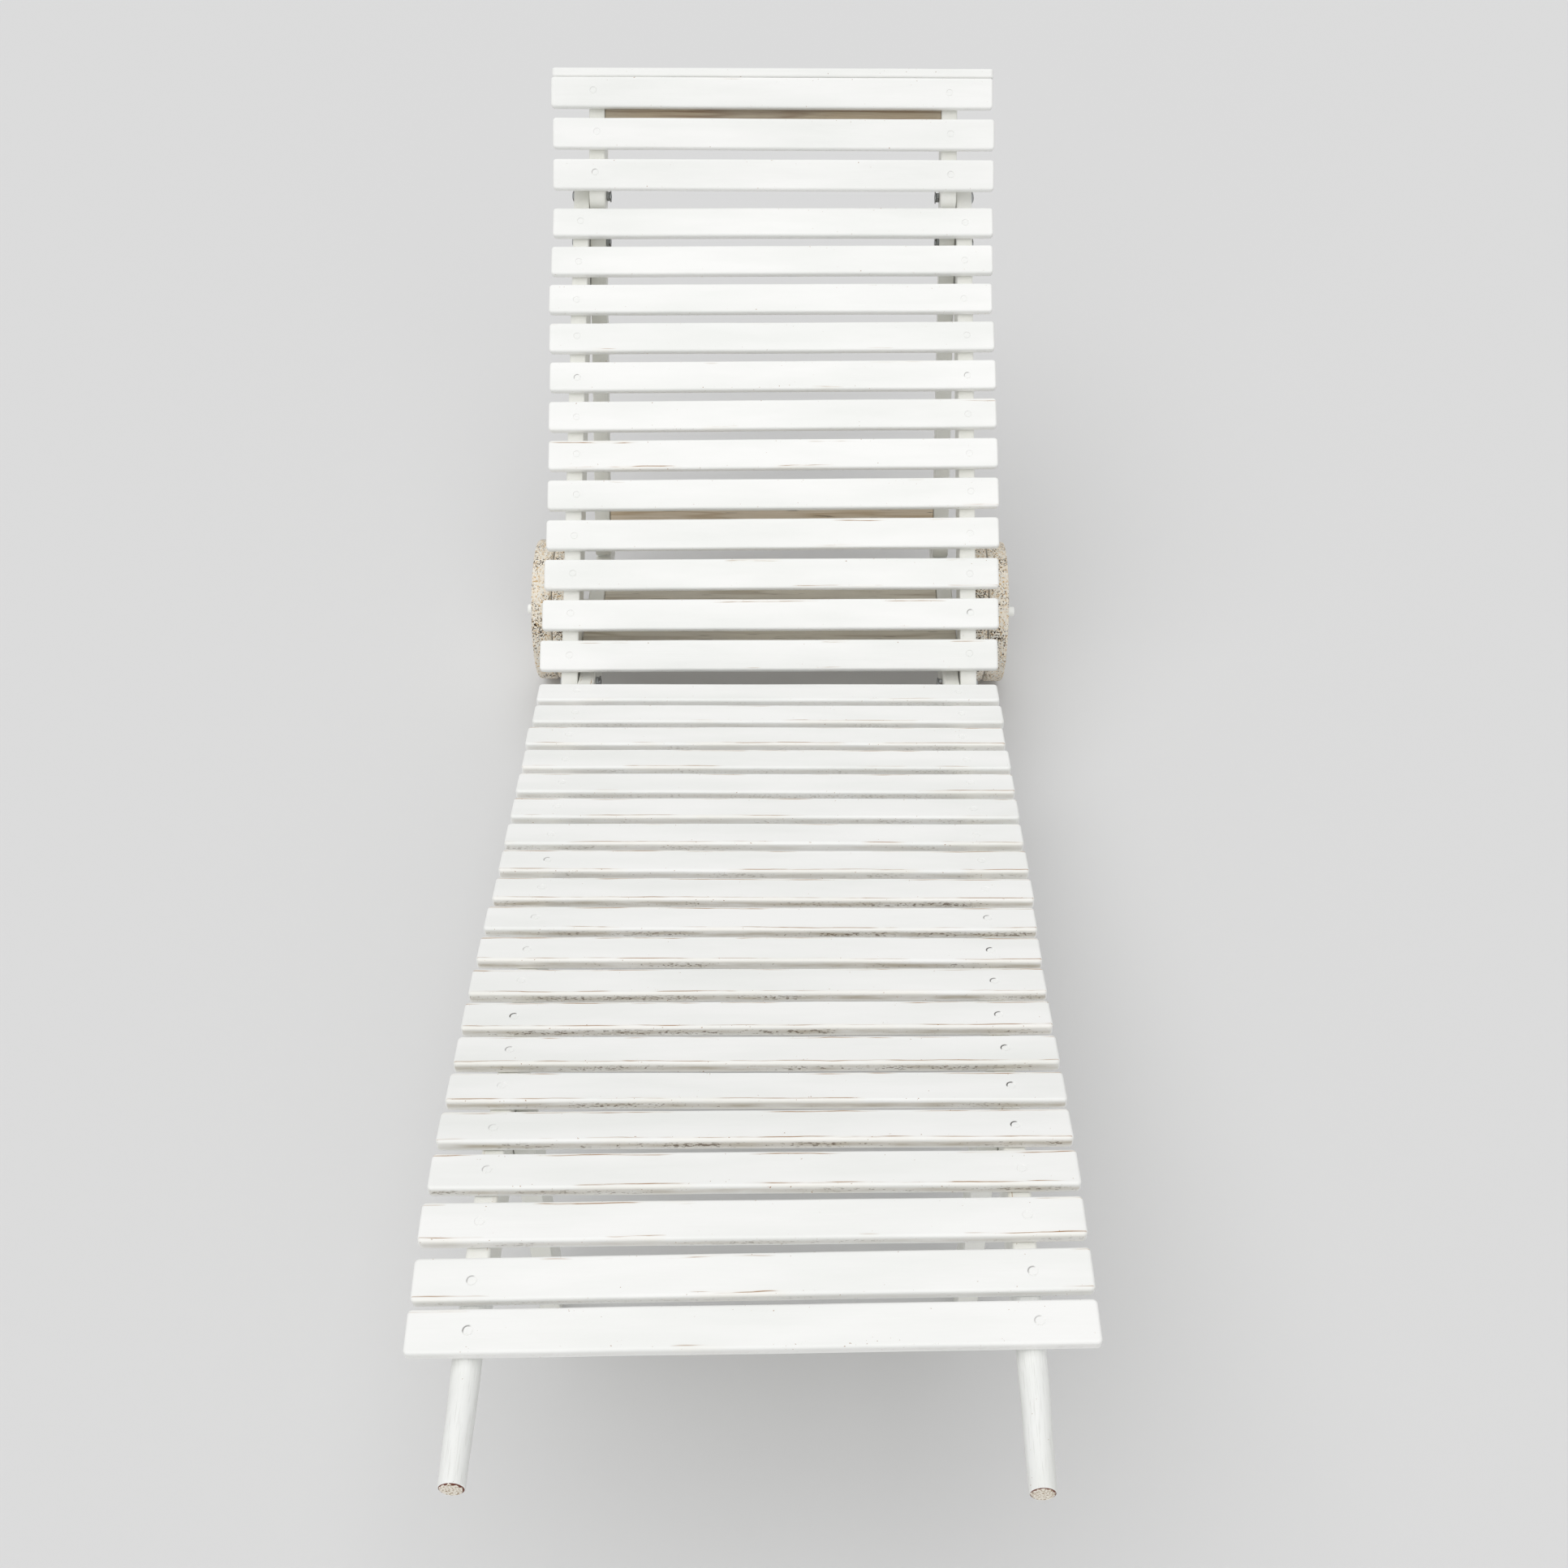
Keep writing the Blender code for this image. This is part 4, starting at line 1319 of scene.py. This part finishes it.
    def loft(self, side: Side, shift: float) -> Mesh:
        """Skins the cross-sections of one rail.

        Args:
            side: The rail's side.
            shift: How far the layout moves along Y in the chair's frame.

        Returns:
            The closed mesh, with the finishes' measures on it.
        """
        work = bmesh.new()
        places, halves, loops = [], [], []
        rows = self.stations()
        for y, top, half_width, half_height, corner, roundness in rows:
            loop = []
            lean = roundness * self.wobble
            sway = noise.noise(Vector((y * self.sways_per_metre, side.value, 0))) * lean * 2
            for x, z in self.section(half_width, half_height, min(corner, half_width, half_height)):
                rough = noise.noise(Vector((x, y, z)) * Vector(self.swells_per_metre))
                swell = 1 + lean * rough / self.handle_radius
                place = (x * swell + sway, y + shift, top - half_height + z * swell)
                loop.append(work.verts.new((place[0] + side.value * self.spacing / 2, place[1], place[2])))
                places.append((y, x, z))
                # On the round handle all faces lie far off, so that no arris is drawn there.
                spare = roundness * self.no_arris
                halves.append((self.no_ends, half_width + spare, half_height + spare))
            loops.append(loop)
        count = len(loops[0])
        for first, second in zip(loops, loops[1:]):
            for index in range(count):
                after = (index + 1) % count
                work.faces.new((first[index], first[after], second[after], second[index]))
        work.faces.new(list(reversed(loops[0])))
        work.faces.new(loops[-1])
        for finish, reach in ((self.handle_finish, 2 * self.steps), (self.end_finish, 2)):
            for vertex in itertools.chain(*loops[:reach]):
                for face in vertex.link_faces:
                    face.material_index = finish
        mesh = finished_mesh(work, f"{side.word}_long_rail")
        store(mesh, "board", np.array(places))
        store(mesh, "half", np.array(halves))
        store(mesh, "seed", np.full(len(places), 3.0 + side.value))
        store(mesh, "wear", np.full(len(places), self.rail_wear))
        return mesh

    def build(self, palette: Palette) -> None:
        """Makes both rails and hands them over.

        Args:
            palette: The finishes.
        """
        handle_end = self.seat_length + self.slat_width / 2 + self.handle_length
        for side in Side:
            node = f"side_rail_{side.word}"
            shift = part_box(node)[0].y - self.seat_point(handle_end)[0]
            mesh = self.loft(side, shift)
            for material in (palette.rail_paint, palette.end_grain, palette.handle_paint):
                mesh.materials.append(material)
            piece = new_piece(f"{side.word}_long_rail", mesh)
            self.cut(piece, node)
            hand_over(piece, Body.FRAME, Slot.PAINT, node)

    def cut(self, piece: Object, node: str) -> None:
        """Cuts the landing, the housing and the bores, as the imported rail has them.

        Args:
            piece: The whole rail.
            node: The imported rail.
        """
        low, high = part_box(node)
        tail_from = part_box("seat_slat_01")[1].y
        room = Vector((high.x - low.x, high.y - tail_from, high.z - low.z)) * self.waste_room
        middle = Vector(((low.x + high.x) / 2, tail_from + room.y / 2, (low.z + high.z) / 2))
        block = bmesh.new()
        bmesh.ops.create_cube(block, size=1.0)
        bmesh.ops.transform(block, matrix=Matrix.LocRotScale(middle, None, room), verts=block.verts)
        waste = new_piece("tail_waste", finished_mesh(block, "tail_waste"))
        packed = new_piece("packed_rail", finished_mesh(merged_solid(node), "packed_rail"))
        cut_away(waste, packed)
        cut_away(piece, waste)
        smooth(piece.data, self.sharp_from)
        round_edges(piece)
        for helper in (waste, packed):
            bpy.data.objects.remove(helper)


@dataclass
class Boards:
    """The plain boards: copies of their solids with whole faces, round-shaded edges and real finishes."""

    painted: dict[str, Body] = field(
        default_factory=lambda: {
            "back_rail": Body.BACK,
            "headrest_rail": Body.HEADREST,
            "prop_arm": Body.PROP,
            "front_leg": Body.FRAME,
        }
    )
    bare: dict[str, tuple[Body, str]] = field(
        default_factory=lambda: {
            "tie_board": (Body.FRAME, "tie_board"),
            "axle_plank": (Body.FRAME, "tie_board"),
            "prop_crossbar": (Body.PROP, "beige_wood"),
            # Brown pine, darkened further by painted shade.
            "headrest_crosspiece": (Body.HEADREST, "brown_wood_and_shade"),
        }
    )

    def dress(self, node: str, name: str, body: Body, slot: Slot, material: Material, seed: float) -> None:
        """Copies, marks and finishes one board.

        Args:
            node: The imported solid.
            name: The piece's name.
            body: The body that it rides on.
            slot: Its material slot.
            material: Its finish.
            seed: Its pattern's seed.
        """
        piece = refined_copy(node, name)
        mark_board(piece.data, BoardFrame.of_node(node), seed)
        piece.data.materials.clear()
        piece.data.materials.append(material)
        hand_over(piece, body, slot, node)

    def build(self, palette: Palette) -> None:
        """Makes every plain board.

        Args:
            palette: The finishes.
        """
        seed = 1.0
        for stem, body in self.painted.items():
            for side in Side:
                name = f"{side.word}_{stem}"
                self.dress(f"{stem}_{side.word}", name, body, Slot.PAINT, palette.rail_paint, seed)
                seed += 1.7
        for node, (body, finish) in self.bare.items():
            self.dress(node, f"bare_{node}", body, Slot.BARE, getattr(palette, finish), seed)
            seed += 1.7
        self.dress("leg_stretcher", "round_leg_stretcher", Body.FRAME, Slot.PAINT, palette.rail_paint, seed)


@dataclass
class Wheels:
    """The two wheels, each of two thick plies with eased rims, and the axle between them."""

    inner_ply: float = 0.021
    joint: float = 0.0012
    ease: float = 0.004
    ease_steps: int = 4
    steps: int = 96
    rim_wear: float = 0.0007
    dents_per_metre: tuple[float, float, float] = (60.0, 55.0, 55.0)
    sharp_from: float = 35.0
    bore: float = 0.0063
    nut_radius: float = 0.0072
    nut_reach: float = 0.3505
    nut_height: float = 0.0195
    nut_steps: int = 36
    nut_sharp_from: float = 40.0
    dome_share: float = 0.3

    def ply_profile(self, low: float, high: float, radius: float) -> list[tuple[float, float]]:
        """Lists one ply's section from its bore round the rim and back to the bore.

        Args:
            low: X of its inner face.
            high: X of its outer face.
            radius: The wheel's radius.

        Returns:
            Points (x, radius), closed by the caller's spin along the bore.
        """
        points = [(low, self.bore)]
        for face, start in ((low, 180), (high, 90)):
            inward = self.ease if face == low else -self.ease
            for step in range(self.ease_steps + 1):
                angle = math.radians(start - 90 * step / self.ease_steps)
                across, up = self.ease * math.cos(angle), self.ease * math.sin(angle)
                points.append((face + inward + across, radius - self.ease + up))
        return points + [(high, self.bore), (low, self.bore)]

    def wheel(self, side: Side, palette: Palette) -> None:
        """Makes one wheel and hands it over.

        Args:
            side: The wheel's side.
            palette: The finishes.
        """
        node = f"wheel_{side.word}"
        low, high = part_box(node)
        middle = (low + high) / 2
        radius = (high.z - low.z) / 2
        width = high.x - low.x
        inner = -width / 2
        seam = inner + self.inner_ply
        bounds = (inner, seam - self.joint / 2, seam + self.joint / 2, width / 2)
        work = bmesh.new()
        for ply_low, ply_high in (bounds[:2], bounds[2:]):
            profile = [(x * side.value, r) for x, r in self.ply_profile(ply_low, ply_high, radius)]
            absorb(work, turned_mesh("ply", profile, middle, self.steps))
        for vertex in work.verts:
            arm = Vector((0, vertex.co.y - middle.y, vertex.co.z - middle.z))
            if arm.length > radius - self.ease * 1.01:
                rough = noise.noise(Vector((vertex.co.x, arm.y, arm.z)) * Vector(self.dents_per_metre))
                vertex.co -= arm.normalized() * self.rim_wear * max(0.0, rough)
        bmesh.ops.recalc_face_normals(work, faces=work.faces)
        mesh = finished_mesh(work, f"{side.word}_two_ply_wheel")
        smooth(mesh, self.sharp_from)
        board = BoardFrame(np.array(middle), np.eye(3), np.array((width / 2, radius, radius)))
        mark_board(mesh, board, 2.0 + side.value)
        mesh.materials.append(palette.wheel)
        piece = new_piece(f"{side.word}_two_ply_wheel", mesh)
        hand_over(piece, Body(node), Slot.WHEEL, node)

    def add_nuts(self, mesh: Mesh) -> None:
        """Sets a domed cap nut on each end of the axle, over the solid's flat end.

        Args:
            mesh: The axle's mesh.
        """
        low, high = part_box("axle")
        middle = (low + high) / 2
        start, dome = self.nut_reach - self.nut_height, self.nut_radius * self.dome_share
        profile = [(start, 0.0), (start, self.nut_radius)]
        for step in range(self.ease_steps + 3):
            angle = math.radians(90 * step / (self.ease_steps + 2))
            rise = self.nut_radius - dome * (1 - math.cos(angle))
            profile.append((self.nut_reach - dome + dome * math.sin(angle), rise))
        profile.append((self.nut_reach, 0.0))
        work = bmesh.new()
        work.from_mesh(mesh)
        for side in Side:
            turned = [(x * side.value, radius) for x, radius in profile]
            absorb(work, turned_mesh("nut", turned, middle, self.nut_steps))
        work.to_mesh(mesh)
        work.free()
        smooth(mesh, self.nut_sharp_from)

    def build(self, palette: Palette) -> None:
        """Makes both wheels and the axle.

        Args:
            palette: The finishes.
        """
        for side in Side:
            self.wheel(side, palette)
        axle = refined_copy("axle", "axle_with_cap_nuts", self.nut_sharp_from)
        self.add_nuts(axle.data)
        axle.data.materials.clear()
        axle.data.materials.append(palette.cap)
        hand_over(axle, Body.FRAME, Slot.CAP, "axle")


@dataclass
class Bolts:
    """The six hinge bolts, each with a domed head, a washer and a hexagon nut."""

    kinds: dict[str, Body] = field(
        default_factory=lambda: {"back_hinge": Body.FRAME, "prop": Body.BACK, "headrest": Body.BACK}
    )
    shank: float = 0.004
    head_height: float = 0.004
    nut_height: float = 0.006
    nut_share: float = 0.83
    nut_chamfer: float = 0.001
    washer: float = 0.0012
    washer_share: float = 1.12
    washer_chamfer: float = 0.0002
    tip_share: float = 0.8
    tip_chamfer: float = 0.0008
    sharp_from: float = 35.0
    dome_steps: int = 6
    steps: int = 36

    def profile(self, low: float, high: float, head: float) -> list[tuple[float, float]]:
        """Lists the bolt's section from the nut's end to the top of the dome.

        Args:
            low: X of the shank's free end.
            high: X of the dome's top.
            head: The head's radius.

        Returns:
            Points (x, radius) from axis to axis.
        """
        seat = high - self.head_height
        points = [(low, 0.0), (low, self.shank * self.tip_share), (low + self.tip_chamfer, self.shank)]
        points += [(seat, self.shank), (seat, head)]
        for step in range(1, self.dome_steps + 1):
            angle = math.radians(90 * step / self.dome_steps)
            points.append((seat + self.head_height * math.sin(angle), head * math.cos(angle)))
        return points

    def nut_mesh(self, start: float, radius: float, middle: Vector) -> bmesh.types.BMesh:
        """Makes the hexagon nut and its washer.

        Args:
            start: X of the washer's outer face, from the middle.
            radius: The nut's outer radius.
            middle: The bolt's middle.

        Returns:
            A new bmesh with both.
        """
        work = bmesh.new()
        parts = (
            (start + self.washer, self.nut_height - self.washer, radius, 6, self.nut_chamfer),
            (start, self.washer, radius * self.washer_share, self.steps, self.washer_chamfer),
        )
        for x, height, outer, sides, ease in parts:
            profile = [(x, 0), (x, outer - ease), (x + ease, outer), (x + height, outer), (x + height, 0)]
            absorb(work, turned_mesh("nut", profile, middle, sides))
        return work

    def build(self, palette: Palette) -> None:
        """Makes all six bolts.

        Args:
            palette: The finishes.
        """
        for kind, body in self.kinds.items():
            for side in Side:
                node = f"{kind}_bolt_{side.word}"
                low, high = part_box(node)
                middle = (low + high) / 2
                reach = (high.x - low.x) / 2
                head = (high.z - low.z) / 2
                work = self.nut_mesh(-reach, head * self.nut_share, middle)
                absorb(work, turned_mesh("shaft", self.profile(-reach, reach, head), middle, self.steps))
                if side is Side.LEFT:
                    for vertex in work.verts:
                        vertex.co.x = 2 * middle.x - vertex.co.x
                    bmesh.ops.reverse_faces(work, faces=work.faces)
                mesh = finished_mesh(work, f"{side.word}_{kind}_bolt")
                smooth(mesh, self.sharp_from)
                mesh.materials.append(palette.zinc)
                piece = new_piece(f"{side.word}_{kind}_bolt", mesh)
                hand_over(piece, body, Slot.ZINC, node)


@dataclass
class Studio:
    """Floor, lamps and the camera, which looks down from the foot end."""

    camera_from_slat: Vector = field(default_factory=lambda: Vector((0.0372, -1.8953, 1.7324)))
    pitch: float = math.radians(45.003)
    yaw: float = math.radians(0.48)
    lens: float = 44.93
    sensor: float = 36.0
    floor: str = "DBDBDB"
    seen_backdrop: str = "DBDBDB"
    floor_size: float = 60.0
    dome: float = 0.50
    # Each lamp's name, strength, and lean towards the camera and sideways in degrees.
    lamps: tuple[tuple[str, float, float, float], ...] = (
        ("top_lamp", 1.26, 2.0, -11.0), ("front_lamp", 0.60, 53.0, -5.0)
    )
    lamp_spread: float = math.radians(70)

    def camera(self) -> None:
        """Sets the camera by the seat's last slat."""
        low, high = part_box("seat_slat_01")
        data = bpy.data.cameras.new("camera")
        data.sensor_width = self.sensor
        data.lens = self.lens
        camera = bpy.data.objects.new("camera", data)
        camera.location = (low + high) / 2 + self.camera_from_slat
        camera.rotation_euler = (math.pi / 2 - self.pitch, 0, self.yaw)
        bpy.context.scene.collection.objects.link(camera)
        bpy.context.scene.camera = camera

    def ground(self) -> None:
        """Lays the pale floor."""
        half = self.floor_size / 2
        mesh = bpy.data.meshes.new("studio_floor")
        corners = [(-half, -half, 0), (half, -half, 0), (half, half, 0), (-half, half, 0)]
        mesh.from_pydata(corners, [], [(0, 1, 2, 3)])
        # Matt grey-white floor paint: no reflection, so that the eye sees only the soft shadow on it.
        material, _, shader = new_material("matt_floor_paint")
        shader.inputs["Base Color"].default_value = linear(self.floor)
        shader.inputs["Roughness"].default_value = 1.0
        shader.inputs["Specular IOR Level"].default_value = 0.0
        mesh.materials.append(material)
        new_piece("studio_floor", mesh)

    def lights(self) -> None:
        """Lights the chair from a plain dome, a wide lamp above it and one behind the camera."""
        world = bpy.data.worlds.new("studio")
        bpy.context.scene.world = world
        world.use_nodes = True
        tree = world.node_tree
        back = tree.nodes["Background"]
        rays = add_node(tree, "ShaderNodeLightPath").node.outputs
        seen = add_node(tree, MAXIMUM, rays["Is Camera Ray"], rays["Is Glossy Ray"])
        seen = add_node(tree, MAXIMUM, seen, rays["Is Transmission Ray"])
        colour = mixed(tree, seen, (self.dome, self.dome, self.dome, 1.0), self.seen_backdrop)
        tree.links.new(colour, back.inputs["Color"])
        for name, energy, forward, sideways in self.lamps:
            data = bpy.data.lights.new(name, "SUN")
            data.energy = energy
            data.angle = self.lamp_spread
            lamp = bpy.data.objects.new(name, data)
            lamp.rotation_euler = (math.radians(forward), math.radians(sideways), 0.0)
            bpy.context.scene.collection.objects.link(lamp)

    def build(self) -> None:
        """Sets up the whole studio."""
        self.camera()
        self.ground()
        self.lights()
        bpy.context.scene.view_settings.view_transform = "Standard"


def numbered(stem: str, count: int, digits: int = 2) -> list[str]:
    """Lists a row of node names, such as seat_slat_01 to seat_slat_20."""
    return [f"{stem}_{index + 1:0{digits}d}" for index in range(count)]


def main() -> None:
    """Builds the finished chair piece by piece."""
    logging.basicConfig(level=logging.INFO, format="%(name)s %(message)s")
    palette = Palette()
    tree = SlatTree().build()
    rails = SideRails()
    inner = rails.spacing / 2
    outer = BoardFrame.of_node("back_rail_right").middle[0]
    seat = numbered("seat_slat", 20)
    back = numbered("back_slat", 12)
    head = numbered("headrest_slat", 3, 1) + ["headrest_top_slat"]
    decks = (
        SlatDeck(
            "seat_slats", Body.FRAME, seat, inner, 5,
            turns=((1, 0.45), (8, 0.45), (11, 0.4), (12, 0.85), (15, 0.85), (16, 1.0), (18, 1.2), (19, 1.5)),
            wear=((1, 0.2), (3, 0.7), (7, 0.6), (9, 1.0), (13, 1.0), (16, 0.8), (18, 0.5), (20, 0.2)),
            dirt=((1, 0.3), (8, 0.5), (9, 1.0), (16, 1.0), (18, 0.5), (20, 0.1)),
            shift=(
                (1, 0.0), (6, 1.0), (8, 2.6), (9, 1.6), (10, -1.5), (12, -2.4), (13, 0.4), (14, -1.4),
                (15, 1.4), (17, 3.0), (18, 1.4), (19, 3.0), (20, 4.5),
            ),
            stretch=((1, 1.005), (14, 1.006), (16, 1.008), (20, 1.012)),
            # How strongly each slat's left and right screw get their painted shadow crescent.
            marks={
                8: (0.5, 0.0), 10: (0.2, 0.6), 11: (0.3, 1.0), 12: (0.0, 0.8), 13: (1.0, 0.9), 14: (0.5, 1.0),
                15: (0.1, 1.0), 16: (0.2, 1.0), 17: (0.3, 0.0), 19: (0.4, 0.5), 20: (0.6, 0.3),
            },
        ),
        SlatDeck(
            "back_slats", Body.BACK, back, outer, 6,
            turns=((1, 0.5), (5, 0.7), (7, 0.7), (12, 0.3)),
            wear=((1, 0.2), (4, 0.3), (8, 0.1), (12, -0.4)),
            dirt=((1, 0.15), (12, 0.0)),
            shift=((1, -1.0), (2, 2.5), (5, 3.2), (6, 3.0), (7, 1.5), (9, 1.8), (10, -1.4), (12, 0.4)),
            stretch=((1, 1.002),),
            marks={2: (0.0, 0.6), 8: (0.4, 0.4)},
        ),
        SlatDeck(
            "headrest_slats", Body.HEADREST, head, inner, 7,
            turns=((1, 0.0),), wear=((1, -0.3),), dirt=((1, 0.0),), marks={1: (0.3, 0.1)},
            shift=((1, 1.5), (2, 2.5), (3, -0.5)), lowered={4: 10.0},
        ),
    )
    for deck in decks:
        deck.build(tree, palette.paint)
    rails.build(palette)
    Boards().build(palette)
    Wheels().build(palette)
    Bolts().build(palette)
    Studio().build()


if __name__ == "__main__":
    main()
